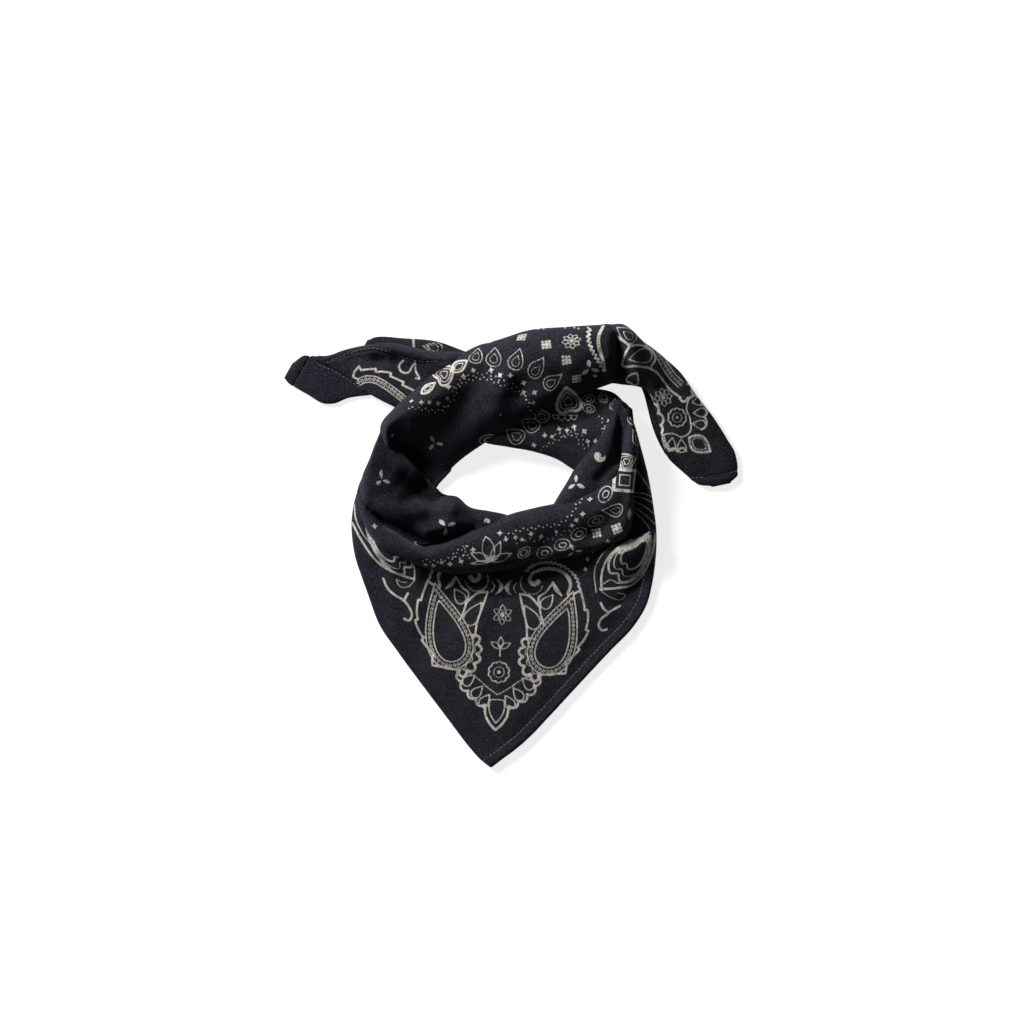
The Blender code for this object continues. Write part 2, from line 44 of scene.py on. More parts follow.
# ---------------------------------------------------------------- sizes, in mm
SHELL = 1.2                 # thickness of the cloth shells
SPACING = 0.78              # points of the printed cloth lie this far apart
STRIP_SPACING = 0.85        # those of the inner strip
LOW_SPACING = 0.9           # those of the low layers beside and under the others
PLAIN_SPACING = 1.1         # those of the plain corner and of the layer under the right end
TUCK = 6                    # how far a band's side curls in under its widest line
MOST_TUCK = 0.3             # but no more than this share of the section
FULLNESS = 0.85             # below 1 the top of a section is fuller than an ellipse
EVEN_FALL = 1.25            # above 1 an inner side that slopes evenly sets off more gently
INK_REACH = 2.4             # beyond this distance from a printed line nothing is measured
INK_CELL = 3.2              # side of the squares that the cloth is sorted into
INK_PART = 1.2              # strokes are cut into parts no longer than this
FRONT_TOP = 3.3             # height of the apron's front layer
EDGE_TOP = 2.7              # height at which its edges turn down
EDGE_TURN = 1.2             # width over which they turn down, and how much wider that is
EDGE_WIDER = 0.55           # for each mm that the cloth lies higher
THIN_SHARE = 0.3            # a low band's shell is no thicker than this share of its height
HEM_WIDE = 8.1              # width of the stitched hem on the apron's right edge
HEM_RISE = 1.5              # how much the hem lifts the cloth over it
HEM_STEP = 1.6              # width of the step at its inner edge
EDGE_FADE = 14              # swells and creases of the apron fade out this near its edges
FOLD_TURN = 4               # width over which its right side turns down at the top fold
BACK_TOP = 1.45             # height of the apron's back layer
BACK_SPACING = 2.4          # its points lie this far apart
BACK_INSET = 2              # it stops this far short of the front layer, under the roll

# ---------------------------------------------------------------- fineness, as plain numbers
ROUGH_ROWS = 40             # rows of the first drawing of a band, and of each part of a line
ROUGH_TURNS = 600           # turns of the first drawing of a section
LEAST_TURNS = 12            # no section has fewer points over its top
TUCK_POINTS = 7             # points of each quarter ellipse tucked in at its sides
RUN_POINTS = 9              # points of its flat run on the table
FLOOR_SHARE = 0.6           # a valley leaves this share of the height of the band's side
WAY_ROUND = 3               # rows and columns over which the cloth's run is measured
STEEP = 0.02                # cloth whose normal rises less than this can't be seen from above
NOT_NEAR = 40               # added in mm to its distance, so that it is never the nearest
FACES_UP = 0.12             # laid strokes show only where the normal rises more than this
LEAST_RISE = 0.25           # the least rise of a normal that a motif is levelled with
CELL_SPAN = 4096            # the squares are numbered, the next row of them this much on

# ---------------------------------------------------------------- the rolled stretches
# Each row is a section across the band: its two ends in plan, the height of its crest, where
# the crest lies between the ends, and the height of the widest line of its sides.
BACK_BAND = [
    (79.5, 164, 81, 123, 22, 0.45, 13),
    (73.5, 165.8, 75.5, 121.5, 33, 0.45, 13),
    (65, 165.2, 66.5, 118.5, 37, 0.45, 13),
    (51.5, 164.5, 51, 113, 38, 0.47, 13),
    (37.5, 163.5, 36.5, 107, 38, 0.5, 13),
    (14, 161.5, 18, 99, 37, 0.48, 13),
    (-8.5, 154.5, -1, 88.5, 36, 0.44, 12),
    (-27, 149, -20.5, 76.5, 36, 0.38, 10),
    (-47.5, 136.5, -37, 65, 37, 0.3, 7),
    (-72, 117.5, -49.5, 53, 38, 0.2, 5),
    (-88, 103, -57, 44, 38, 0.14, 4),
    (-97.5, 91.5, -60, 34.5, 35, 0.14, 4),
    (-98, 76, -62.5, 24, 22, 0.22, 4),
]
LEFT_LOBE = [
    (-100.5, 79, -95.5, 90.5, 19, 0.42, 12),
    (-106.5, 63.5, -95, 87, 27, 0.38, 15),
    (-112, 49.5, -90, 79, 31, 0.36, 16),
    (-112, 36.5, -83.5, 71.5, 31, 0.38, 16),
    (-106, 27.5, -75, 62.5, 29, 0.5, 16),
    (-95.5, 16.5, -66, 53, 27, 0.56, 14),
    (-80.5, 6.5, -58, 43.5, 26, 0.62, 13),
    (-64, -2.5, -50.5, 38.5, 24, 0.7, 11),
    (-42, -3, -40, 36.5, 22, 0.74, 8),
    (-23.5, 0.5, -31, 29, 18, 0.7, 8),
    (-6, 10.5, -16, 26, 16, 0.6, 8),
    (4.5, 14.5, -3, 23, 14, 0.5, 8),
    (15, 4, 9, 14, 11, 0.5, 7),
]
FRONT_ROLL = [
    (-110.5, 54.5, -106, 58.5, 15, 0.5, 9),
    (-115.5, 40.5, -108, 45, 18, 0.5, 10),
    (-115, 27.5, -104, 31.5, 21, 0.5, 11),
    (-109.5, 14, -97, 19.5, 24, 0.5, 11),
    (-100, 1.5, -82, 9, 26, 0.5, 11),
    (-85.5, -7.5, -73, 3.5, 27, 0.5, 11),
    (-70.5, -14.5, -65.5, 1.5, 28, 0.52, 11),
    (-53.5, -19.5, -53.5, 5, 27, 0.58, 9),
    (-37, -21, -39, 10.5, 26, 0.64, 8.5),
    (-12, -19, -20.5, 15, 26, 0.68, 8.5),
    (12, -14.5, 0, 24, 26, 0.68, 8.5),
    (30.5, -10.5, 20, 29, 26, 0.66, 8.5),
    (51.5, -7, 38, 33, 27, 0.62, 9),
    (71, 0, 57, 39.5, 30, 0.52, 12),
    (87.5, 8.5, 71, 48.5, 31, 0.48, 12),
    (92, 27, 78, 53, 31, 0.45, 12),
    (92, 44, 81.5, 64.5, 30, 0.45, 12),
    (95, 63, 83, 74, 29, 0.45, 12),
    (95, 78, 84.5, 85.5, 27, 0.45, 12),
    (91.5, 92, 85.5, 99.5, 25, 0.45, 12),
    (84, 102, 76, 108, 22, 0.45, 12),
]
INNER_STRIP = [
    (90.5, 102, 79.5, 111, 20, 0.5, 10),
    (92, 87, 71, 93, 22, 0.6, 10),
    (90.5, 68, 60, 76.5, 23, 0.65, 9),
    (86, 49.5, 48.5, 60, 22, 0.68, 8),
    (75.5, 34.5, 42, 48.5, 21, 0.7, 8),
    (63, 26.5, 36.5, 39.5, 20, 0.7, 8),
    (46.5, 16.5, 30, 28.5, 17, 0.6, 8),
    (34, 5, 22, 16, 11, 0.5, 7),
]
UNDER_BAND = [
    (94.5, 82.5, 60.5, 52.5, 15, 0.5, 7),
    (89, 99.5, 48.5, 56, 18, 0.5, 7),
    (77.5, 114, 33.5, 65, 19, 0.52, 7),
    (62, 118, 16.5, 70.5, 19, 0.55, 7),
    (42.5, 120, -2.5, 74, 18, 0.58, 7),
    (20, 116, -22, 78, 17, 0.6, 7),
    (-1, 110, -35, 87, 16, 0.6, 7),
]
RIGHT_SIDE = [
    (107.5, -6, 86, -6, 12, 0.5, 6),
    (108.5, 12, 86, 13.5, 14, 0.5, 7),
    (106.5, 29, 86, 30.5, 16, 0.45, 8),
    (102, 54.5, 86, 57, 18, 0.4, 8),
    (96.5, 75.5, 84, 75.5, 19, 0.35, 9),
    (91.5, 91.5, 80, 91.5, 19, 0.35, 9),
    (82.5, 105, 74, 101, 18, 0.4, 9),
]
LEFT_TAIL = [
    (-23.5, 143, -70.5, 90.5, 20, 0.25, 6),
    (-42, 145.5, -85.5, 102.5, 19, 0.22, 5.5),
    (-63, 146.2, -96, 108, 17, 0.2, 5),
    (-78, 150, -105, 113, 15, 0.2, 4.5),
    (-90, 152, -112, 117.5, 12.5, 0.22, 4.2),
    (-108, 150.5, -121.5, 125, 10, 0.3, 4),
    (-124.5, 147, -130.5, 130.5, 8, 0.4, 3.8),
    (-138, 142.5, -140.5, 136, 6.5, 0.5, 3.6),
    (-145, 142.5, -147, 139.5, 5.5, 0.5, 3.4),
]
LEFT_TIP = [
    (-119.5, 129.5, -105, 113, 3.2, 0.5, 1.5),
    (-124.5, 133.5, -121, 111, 3.6, 0.5, 1.6),
    (-136, 138, -133.5, 106.5, 4.2, 0.5, 1.7),
    (-143.5, 141.5, -142, 107, 4.6, 0.5, 1.8),
    (-148.5, 142.3, -152.5, 113.2, 4.6, 0.5, 1.8),
    (-151.5, 141.6, -163.6, 119.9, 4.4, 0.5, 1.9),
    (-153.6, 140.6, -165.2, 121.4, 3.6, 0.5, 1.6),
]
LEFT_HEM = [
    (-151.5, 142.6, -164.3, 119.6, 4.2, 0.5, 2.2),
    (-156.5, 142.3, -167.5, 122.2, 4.8, 0.5, 2.3),
    (-163, 137.5, -169.8, 125.3, 4.2, 0.5, 2.1),
]
TAIL_BACK = [
    (-106.5, 154.5, -110.5, 147, 2.8, 0.4, 1.4),
    (-103.5, 156, -104.5, 142.5, 3.4, 0.4, 1.5),
    (-79.5, 155.5, -82, 141, 4.6, 0.4, 1.8),
    (-55, 153, -58, 138, 6, 0.4, 2.4),
    (-34, 145.5, -40, 130.5, 7, 0.4, 3),
]
RIGHT_TAIL = [
    (71, 164.9, 71, 121.8, 30, 0.42, 13),
    (76.5, 165.8, 75.5, 121.5, 33, 0.36, 13),
    (83, 165.8, 83, 120.5, 35, 0.3, 13),
    (90.5, 161, 92, 119.5, 31, 0.28, 12),
    (97.5, 154, 99, 117.5, 26, 0.28, 10),
    (108.5, 146, 105, 110, 21, 0.3, 8),
    (114.5, 141, 108, 101, 18, 0.32, 6.5),
    (126.5, 130, 111, 89.5, 14.5, 0.35, 5),
    (138.5, 113, 113, 77.5, 12.5, 0.38, 4.4),
    (150.5, 97.5, 117, 66.5, 10, 0.42, 4),
    (162, 79.5, 126.5, 57, 8, 0.45, 3.4),
    (168, 68.5, 133, 51.3, 6.5, 0.48, 2.8),
    (169.4, 56.2, 136.2, 48.4, 5.2, 0.5, 2.2),
    (168.6, 54.2, 138.4, 47, 4.2, 0.5, 1.9),
]
RIGHT_HEM = [
    (169.5, 55.9, 135.4, 49.5, 5.4, 0.5, 2.4),
    (169.5, 52.5, 140.4, 45.8, 5.4, 0.5, 2.5),
    (164.5, 47.8, 149.5, 44.7, 4.4, 0.5, 2.2),
]
TAIL_UNDER = [
    (96.5, 120.5, 108.5, 119.5, 8, 0.4, 3.8),
    (99, 114.5, 112.5, 112, 7, 0.4, 3.4),
    (102, 103.5, 116, 101, 5.8, 0.4, 2.8),
    (105, 91.5, 119, 90, 4.8, 0.4, 2.3),
    (109.5, 79.5, 121, 79.5, 4.2, 0.4, 1.8),
    (115, 69, 123, 71, 3.4, 0.4, 1.6),
]

# Soft troughs (depth > 0) and ridges (depth < 0) pressed into the top of the bands.
# Columns: from_x, from_y, to_x, to_y, reach, depth. The broad ones are the solids' own,
# the narrow ones the small folds between them.
BACK_CREASES = [
    (-52, 82, -26, 122, 13, 7),
    (-22, 84, -4, 122, 9, -4),
    (6, 118, 34, 124, 10, 4.5),
    (40, 112, 66, 126, 8, 4),
    (-72, 104, -44, 84, 5, 1.2),
    (-20, 104, 4, 112, 5, 1),
    (-12, 92, 14, 106, 4, -0.9),
    (48, 128, 70, 146, 5, 1.3),
    (54, 122, 72, 136, 3.5, 1.2),
    (16, 144, 48, 148, 6, -0.8),
    (-84, 74, -66, 48, 6, 1.2),
]
LOBE_CREASES = [
    (-72, 17, -54, 20, 7, 3),
    (-40, 22, -33, 12, 6, 4),
    (-100, 58, -90, 52, 5, 1.2),
    (-84, 17, -66, 12, 4, 1),
]
ROLL_CREASES = [
    (28, 2, 62, 10, 9, 4),
    (78, 22, 62, 8, 10, 6),
    (-60, -8, -20, -4, 8, 2),
    (84, 36, 88, 62, 6, 3),
    (-44, 2, 4, 14, 4, 0.9),
    (-66, -14, -30, -14, 3, 0.8),
    (4, -4, 34, 0, 4, 0.8),
    (60, 30, 74, 40, 4, 1),
    (-108, 22, -92, 6, 3, 0.9),
]
STRIP_CREASES = [
    (84, 100, 80, 66, 4.5, 5.5),
    (80, 66, 66, 50, 4.5, 3),
    (62, 62, 52, 50, 4, 0.8),
]
UNDER_CREASES = [
    (-4, 90, 36, 96, 9, 4),
    (44, 92, 66, 100, 7, 4),
    (30, 78, 58, 76, 5, 1),
]
LEFT_CREASES = [
    (-118, 140, -98, 139, 5, 2),
    (-104, 128, -84, 116, 4, 0.8),
]
RIGHT_CREASES = [
    (78, 154, 84, 126, 6.5, 12),
    (118, 118, 132, 96, 8, 2.5),
    (126, 92, 146, 76, 5, 0.9),
    (100, 142, 112, 120, 5, 1.2),
]
TIP_CREASES = [(-152, 136, -128, 116, 6, 0.6)]

# Valleys and ridges that bend: x, y, reach, depth or height.
ROLL_VALLEY = [
    (-104, 27, 4, 3), (-94, 17, 4.5, 13), (-78, 8.5, 5, 17), (-65, 1.5, 5, 17), (-52, 5, 4.5, 14),
    (-29, 11.5, 4, 6),
]
BAND_HOLLOW = [(-84, 82, 9, 12), (-76, 69, 14, 20), (-66, 56, 14, 18), (-56, 44, 12, 10)]
LOBE_HOLLOW = [(-88, 54, 7, 2), (-79, 47, 9, 8), (-69, 40, 11, 16), (-59, 35, 10, 17), (-50, 32, 7, 8)]
POCKET_RIDGE = [(-94, 30, 6, 1.5), (-76, 27, 6, 2.5), (-58, 29, 6, 4), (-45, 33.5, 5.5, 4)]
TAIL_HEM_RIDGE = [
    (-122, 145, 4, 0.6), (-104, 149, 4.5, 2.2), (-86, 148.5, 4.5, 3.2), (-70, 143.5, 4.5, 3.5),
    (-48, 139, 4.5, 3),
]
TAIL_HOLLOW = [(-98, 138.5, 6, 4), (-86, 136, 8, 8), (-72, 130, 9, 9), (-56, 123, 9, 8)]
TAIL_HEM_LINE = [
    (-136, 138.5, 1.3, 0.7), (-119.5, 144, 1.3, 0.9), (-103, 146.5, 1.3, 1.1), (-89.5, 143.3, 1.3, 1.1),
    (-80, 139.6, 1.3, 1.1), (-69, 136.8, 1.3, 1.1), (-47.5, 137.5, 1.3, 0.9),
]
WING_VALLEY = [
    (52, -26, 4, 0.6), (63, -40, 4.5, 1.7), (81, -44, 5, 2), (96, -30, 5, 2.2), (106, -4, 5, 1.5),
]
CROSS_VALLEY = [
    (-74, -36, 3.5, 0.4), (-40, -38.5, 4, 1.8), (0, -38, 4, 2), (40, -37, 4, 1.8), (56, -36, 3.5, 0.6),
]

# The apron: points along the two edges of the folded corner, from its tip upwards. The upper
# ends climb the outside of the loop.
LEFT_EDGE = [
    (-16, -166), (-24, -159.5), (-31.5, -151), (-47.5, -130), (-63, -109.5), (-85.5, -79), (-98.5, -60),
    (-107.3, -37), (-112.5, -22.5), (-116.5, -10.5), (-119.2, 4), (-119.8, 19.5), (-117.5, 34),
    (-111.5, 51),
]
RIGHT_EDGE = [
    (-16, -166), (-7.5, -160.5), (6.5, -150), (27.5, -129), (45.5, -109.5), (73.5, -79.5), (92, -60),
    (101.5, -44), (105.5, -29), (108, -12), (108.9, 2), (108.4, 16), (107, 26),
]
# Where the apron stops, hidden under the roll, as y over x.
APRON_END = [
    (-119.9, 60), (-111, 51), (-109, 30), (-103, 17), (-91, 5), (-79, -2), (-68, -6), (-53, -7),
    (-38, -5), (-16, -2), (6, 4), (30, 7), (60, 5), (70, 7), (82, 11), (95, 15), (110, 20),
]
# The top fold of its right side, where it turns down beside the roll.
RIGHT_FOLD = [(60, -4), (66, -1), (79, 4.3), (92, 7), (108.5, 14)]

# Soft swells. Columns: x, y, reach, height.
APRON_SWELLS = [
    (-30, -45, 46, 3),
    (48, -44, 34, 2.6),
    (82, -22, 22, 3),
    (-2, -92, 34, 1.8),
    (-78, -30, 24, 2),
    (8, -122, 22, 1),
]
# Where the apron rides up against the roll. Columns: x, y, reach, height.
LEFT_RISE = [
    (-110, 48, 9, 9), (-112, 28, 11, 12), (-106, 13, 13, 13), (-97, 1, 14, 13), (-84, -8, 13, 11),
    (-70, -15, 10, 7), (-55, -17, 8, 2),
]
RIGHT_RISE = [(56, -8, 8, 3), (70, -5, 12, 9), (82, -3, 15, 13), (94, 0, 15, 14), (104, 6, 12, 13)]
APRON_CREASES = [
    (-100, -14, -74, -36, 6, 1.2),
    (-94, -52, -64, -84, 9, 0.8),
    (84, -50, 60, -76, 8, 0.8),
    (-36, -118, -10, -148, 6, 0.5),
    (20, -60, 40, -92, 9, -0.6),
    (-30, -64, -52, -88, 9, -0.6),
]


# ---------------------------------------------------------------- working out the cloth
def smooth(rows, along, where):
    """Rows read at places along a smooth curve through the given ones: a cubic between each
    two rows, whose slope at each row is that of its two neighbours."""
    slope = np.gradient(rows, along, axis=0)
    low = np.clip(np.searchsorted(along, where, side="right") - 1, 0, len(rows) - 2)
    span = (along[low + 1] - along[low])[:, None]
    t = ((where - along[low]) / span[:, 0])[:, None]
    return ((2 * t**3 - 3 * t**2 + 1) * rows[low] + (t**3 - 2 * t**2 + t) * span * slope[low]
            + (3 * t**2 - 2 * t**3) * rows[low + 1] + (t**3 - t**2) * span * slope[low + 1])


def stations(rows, count):
    """The table's rows redrawn as `count` rows, evenly spaced on a smooth curve. The way
    between two rows is that between their middles, or half that of the faster end."""
    table = np.array(rows, float)
    middle = (table[:, 0:2] + table[:, 2:4]) / 2
    ends = np.abs(np.diff(table[:, 0:4], axis=0)).max(axis=1)
    step = np.maximum(np.linalg.norm(np.diff(middle, axis=0), axis=1), 0.5 * ends)
    along = np.concatenate([[0], np.cumsum(step)])
    return smooth(table, along, np.linspace(0, along[-1], count))


def line_distance(plan, x0, y0, x1, y1):
    """Distance of plan points from the straight line between two points, and the share of
    that line at which each is nearest."""
    start, run = np.array([x0, y0]), np.array([x1 - x0, y1 - y0])
    offset = plan - start
    t = np.clip((offset @ run) / (run @ run), 0, 1)
    return np.linalg.norm(offset - t[..., None] * run, axis=-1), t


def troughs(plan, creases):
    """Depth at plan points: for each crease a bell curve of the distance from its line."""
    depth = np.zeros(plan.shape[:-1])
    for x0, y0, x1, y1, reach, deep in creases:
        distance, _ = line_distance(plan, x0, y0, x1, y1)
        depth += deep * np.exp(-((distance / reach) ** 2))
    return depth


def ripples(points, waves, seed):
    """A gentle unevenness: sine waves of random direction and phase, added up. `waves` gives
    the length of each wave in mm, its height in mm and how many there are."""
    rng = np.random.default_rng(seed)
    total = np.zeros(points.shape[:-1])
    for length, height, count in waves:
        for _ in range(count):
            direction = rng.normal(size=3)
            direction *= 2 * np.pi / length / np.linalg.norm(direction)
            total += height / np.sqrt(count) * np.sin(points @ direction + rng.uniform(0, 2 * np.pi))
    return total


def grid_normals(points):
    """Unit normals of a grid of points: the cross product of the two ways across it."""
    along = np.gradient(points, axis=0)
    over = np.gradient(points, axis=1)
    out = np.cross(along, over)
    return out / np.maximum(np.linalg.norm(out, axis=-1, keepdims=True), 1e-9)


def travel(points, axis):
    """Length walked over a grid along one axis, from its first line of points."""
    step = np.linalg.norm(np.diff(points, axis=axis), axis=-1)
    first = np.zeros_like(np.take(step, [0], axis=axis))
    return np.concatenate([first, np.cumsum(step, axis=axis)], axis=axis)


def over_top(turn, lean):
    """Share of the way over a section at each turn: a cosine on each side of the crest."""
    return np.where(turn <= np.pi / 2, lean * (1 - np.cos(turn)), 1 - (1 - lean) * (1 + np.cos(turn)))


def even_turns(table, spacing):
    """Turns over the top of a section, spaced so that its points lie evenly on the cloth."""
    width = np.linalg.norm(table[:, 0:2] - table[:, 2:4], axis=1)
    wide = width.max()
    crest, lean, side = table[:, 4:7].mean(axis=0)
    turn = np.linspace(0, np.pi, ROUGH_TURNS)
    across = over_top(turn, lean)
    height = (crest - side) * np.sin(turn) ** FULLNESS
    walked = np.concatenate([[0], np.cumsum(np.hypot(wide * np.diff(across), np.diff(height)))])
    count = max(int(walked[-1] / spacing), LEAST_TURNS)
    return np.interp(np.linspace(0, walked[-1], count), walked, turn)


# Waves of unevenness: length, height, how many.
WAVES = ((46, 0.34, 5), (21, 0.2, 6), (9, 0.08, 6))
APRON_WAVES = ((38, 0.42, 5), (17, 0.22, 6), (8, 0.07, 6))
BACK_WAVES = ((30, 1, 5),)


class Cloth:
    """One stretch of cloth: a grid of points in mm, the rows along it and the columns over
    and round it; how many of the columns are its upper side; and where the points lie on
    the flat cloth."""

    def __init__(self, name, points, over, ring):
        self.name, self.points, self.over, self.ring = name, points, over, ring
        self.upper = points[:, :over]
        self.out = grid_normals(self.upper)
        self.facing = 1 if self.out[:, over // 2, 2].mean() > 0 else -1
        self.out *= self.facing
        self.flat = np.stack([travel(points, 0), travel(points, 1)], axis=-1)
        self.strokes, self.laid = [], []

    def nearest(self, x, y):
        """Row and column of the upper point that is nearest in plan to (x, y)."""
        away = np.hypot(self.upper[..., 0] - x, self.upper[..., 1] - y)
        away += NOT_NEAR * (self.out[..., 2] < STEEP)
        return np.unravel_index(np.argmin(away), away.shape)

    def at(self, row, column):
        """Points of the upper side at whole and part rows and columns."""
        row = np.clip(row, 0, self.upper.shape[0] - 1.001)
        column = np.clip(column, 0, self.upper.shape[1] - 1.001)
        i, j = row.astype(int), column.astype(int)
        s, t = (row - i)[:, None], (column - j)[:, None]
        return ((1 - s) * (1 - t) * self.upper[i, j] + s * (1 - t) * self.upper[i + 1, j]
                + (1 - s) * t * self.upper[i, j + 1] + s * t * self.upper[i + 1, j + 1])

    def wrap(self, strokes, x, y, turn=0):
        """Prints a motif: its flat strokes (u, v, half width) are turned, centred over the
        plan point (x, y) and walked over the cloth from there, row by row and column by
        column, so that they keep their size and follow its bends."""
        i, j = self.nearest(x, y)
        normal = self.out[i, j]
        angle = np.radians(turn)
        level = np.array([np.cos(angle), np.sin(angle), 0])
        level[2] = -(level @ normal) / max(normal[2], LEAST_RISE)
        level /= np.linalg.norm(level)
        aside = np.cross(normal, level)
        aside /= np.linalg.norm(aside)
        rows, columns = self.upper.shape[:2]
        i0, i1 = max(i - WAY_ROUND, 0), min(i + WAY_ROUND, rows - 1)
        j0, j1 = max(j - WAY_ROUND, 0), min(j + WAY_ROUND, columns - 1)
        by_row = (self.upper[i1, j] - self.upper[i0, j]) / (i1 - i0)
        by_column = (self.upper[i, j1] - self.upper[i, j0]) / (j1 - j0)
        solve = np.linalg.pinv(np.stack([by_row, by_column], axis=1))
        for stroke in strokes:
            moved = stroke[:, 0:1] * level + stroke[:, 1:2] * aside
            step = moved @ solve.T
            placed = self.at(i + step[:, 0], j + step[:, 1])
            self.strokes.append(np.column_stack([placed, stroke[:, 2]]))

    def lay(self, strokes):
        """Prints strokes given in plan (x, y, half width), straight down on the cloth."""
        self.laid += [np.column_stack([s[:, :2], 0 * s[:, 0], s[:, 2]]) for s in strokes]

    def ink(self, used):
        """Distance from each used point to the nearest printed stroke: in space to the
        wrapped ones, in plan to the laid ones, which show only where the cloth faces up."""
        spots = self.points.reshape(-1, 3)[used]
        wrapped = ink_of(spots, self.strokes)
        upward = np.zeros(self.points.shape[:2], bool)
        upward[:, :self.over] = self.out[..., 2] > FACES_UP
        laid = ink_of(spots * (1, 1, 0), self.laid)
        return np.where(upward.ravel()[used], np.minimum(wrapped, laid), wrapped)

    def spot_at(self, x, y):
        """The point of the upper side over a place in plan."""
        return np.array([x, y, self.upper[self.nearest(x, y)][2]])


def band(name, rows, spacing=SPACING, creases=(), seed=1, grooves=(), lively=1, ends=(0, 0),
         fall=((0, 0), (1, 0)), valleys=(), ridges=()):
    """A stretch of rolled cloth, closed all round. A section is half an ellipse on each side
    of the crest, then a quarter ellipse tucked in at each side and a flat run on the table;
    creases and valleys press its top down, and small ripples keep it from being smooth.
    Grooves run along it at a share of the way over, and drift and fade in slow sine waves:
    each is that share, its drift, its width as a share, and its depth. `fall` gives, over
    the way along, how far the inner side is an even slope instead of round. `ends` closes
    an end with a quarter round."""
    rough = stations(rows, ROUGH_ROWS)
    sides = rough[:, 0:4].reshape(-1, 2, 2)
    longest = travel(sides, 0)[-1].max()
    middle = travel((sides[:, 0] + sides[:, 1]) / 2, 0)[-1]
    table = stations(rows, int(0.5 * (longest + middle) / spacing) + 1)
    outer, inner = table[:, None, 0:2], table[:, None, 2:4]
    crest, lean, side = table[:, 4, None], table[:, 5, None], table[:, 6, None]
    turn = even_turns(table, spacing)[None, :]
    near = turn <= np.pi / 2
    across = over_top(turn, lean)
    slope = np.interp(np.linspace(0, 1, len(table)), *np.array(fall).T)[:, None]
    slope = np.where(near, 0, slope)
    even = 1 - np.maximum(-np.cos(turn), 0) ** EVEN_FALL
    top = side + (crest - side) * ((1 - slope) * np.sin(turn) ** FULLNESS + slope * even)
    over = turn.shape[1]
    tuck = np.minimum(TUCK / np.linalg.norm(outer - inner, axis=2), MOST_TUCK)
    bend = np.linspace(0, np.pi / 2, TUCK_POINTS)[None, 1:]
    in_w, in_z = 1 - tuck * (1 - np.cos(bend)), side * (1 - np.sin(bend))
    flat_w = 1 - tuck - (1 - 2 * tuck) * np.linspace(0, 1, RUN_POINTS)[None, 1:-1]
    across = np.concatenate([across, in_w, flat_w, (1 - in_w)[:, ::-1]], axis=1)
    height = np.concatenate([top, in_z, 0 * flat_w, in_z[:, ::-1]], axis=1)
    plan = outer + (inner - outer) * across[..., None]
    points = np.concatenate([plan, height[..., None]], axis=2)
    share = np.clip((points[:, :over, 2] - side) / (crest - side), 0, 1)
    points[:, :over, 2] -= share * troughs(points[:, :over, :2], creases)
    for raised in ridges:
        points[:, :over, 2] += share * ridge(points[:, :over, :2], raised)
    for valley in valleys:
        deep = ridge(points[:, :over, :2], valley)
        points[:, :over, 2] -= np.clip(np.minimum(deep, points[:, :over, 2] - FLOOR_SHARE * side), 0, None)
    out = grid_normals(points[:, :over])
    out *= 1 if out[:, over // 2, 2].mean() > 0 else -1
    way = np.linspace(0, 1, over)[None, :]
    run = np.linspace(0, 1, len(points))[:, None]
    push = lively * ripples(points[:, :over], WAVES, seed) * np.sin(np.pi * way) ** 0.5
    for where, drift, wide, deep in grooves:
        line = where + drift * np.sin(2 * np.pi * (1.3 * run + 7 * where))
        push -= deep * np.exp(-(((way - line) / wide) ** 2)) * (0.7 + 0.3 * np.sin(9 * run + 20 * where))
    points[:, :over] += push[..., None] * out
    points[..., 2] = np.maximum(points[..., 2], 0)
    if ends[0]:
        points = np.concatenate([rounded_end(points[0], points[0] - points[3], ends[0])[::-1], points])
    if ends[1]:
        points = np.concatenate([points, rounded_end(points[-1], points[-1] - points[-4], ends[1])])
    return Cloth(name, points, over, True)


def rounded_end(ring, onward, reach):
    """Rings that close an end: over a quarter turn the section moves outwards by `reach`,
    narrows by as much on each side, and flattens to its middle height."""
    heading = np.array([*onward.mean(axis=0)[:2], 0])
    heading /= np.linalg.norm(heading)
    angle = np.linspace(0, np.pi / 2, 6)[1:, None, None]
    centre = ring.mean(axis=0)
    half = np.abs((ring - centre) @ np.cross([0, 0, 1], heading)).max()
    middle = 0.5 * (ring[:, 2].max() + ring[:, 2].min())
    narrow = 1 - reach / half * (1 - np.cos(angle))
    moved = centre + (ring - centre) * narrow + heading * reach * np.sin(angle)
    moved[..., 2] = middle + (ring[None, :, 2] - middle) * np.cos(angle[..., 0])
    return moved


def smooth_line(points, spacing):
    """A smooth line through points, redrawn finely and then with points at equal lengths
    along it, as near to the spacing as fits."""
    knots = np.array(points, float)
    along = travel(knots, 0)
    fine = smooth(knots, along, np.linspace(0, along[-1], ROUGH_ROWS * len(knots)))
    walked = travel(fine, 0)
    even = np.linspace(0, walked[-1], max(int(round(walked[-1] / spacing)), 2) + 1)
    return np.column_stack([np.interp(even, walked, fine[:, k]) for k in range(fine.shape[1])])


def ridge(plan, rows, steep=2):
    """Height of a ridge: a bell curve of the distance from a bent line, whose reach and
    height change evenly between its rows; where its straight parts meet, the higher one.
    The higher `steep` is, the steeper its sides and the flatter its top."""
    height = np.zeros(plan.shape[:-1])
    for (x0, y0, reach0, high0), (x1, y1, reach1, high1) in zip(rows[:-1], rows[1:]):
        distance, t = line_distance(plan, x0, y0, x1, y1)
        reach, high = reach0 + (reach1 - reach0) * t, high0 + (high1 - high0) * t
        height = np.maximum(height, high * np.exp(-((distance / reach) ** steep)))
    return height


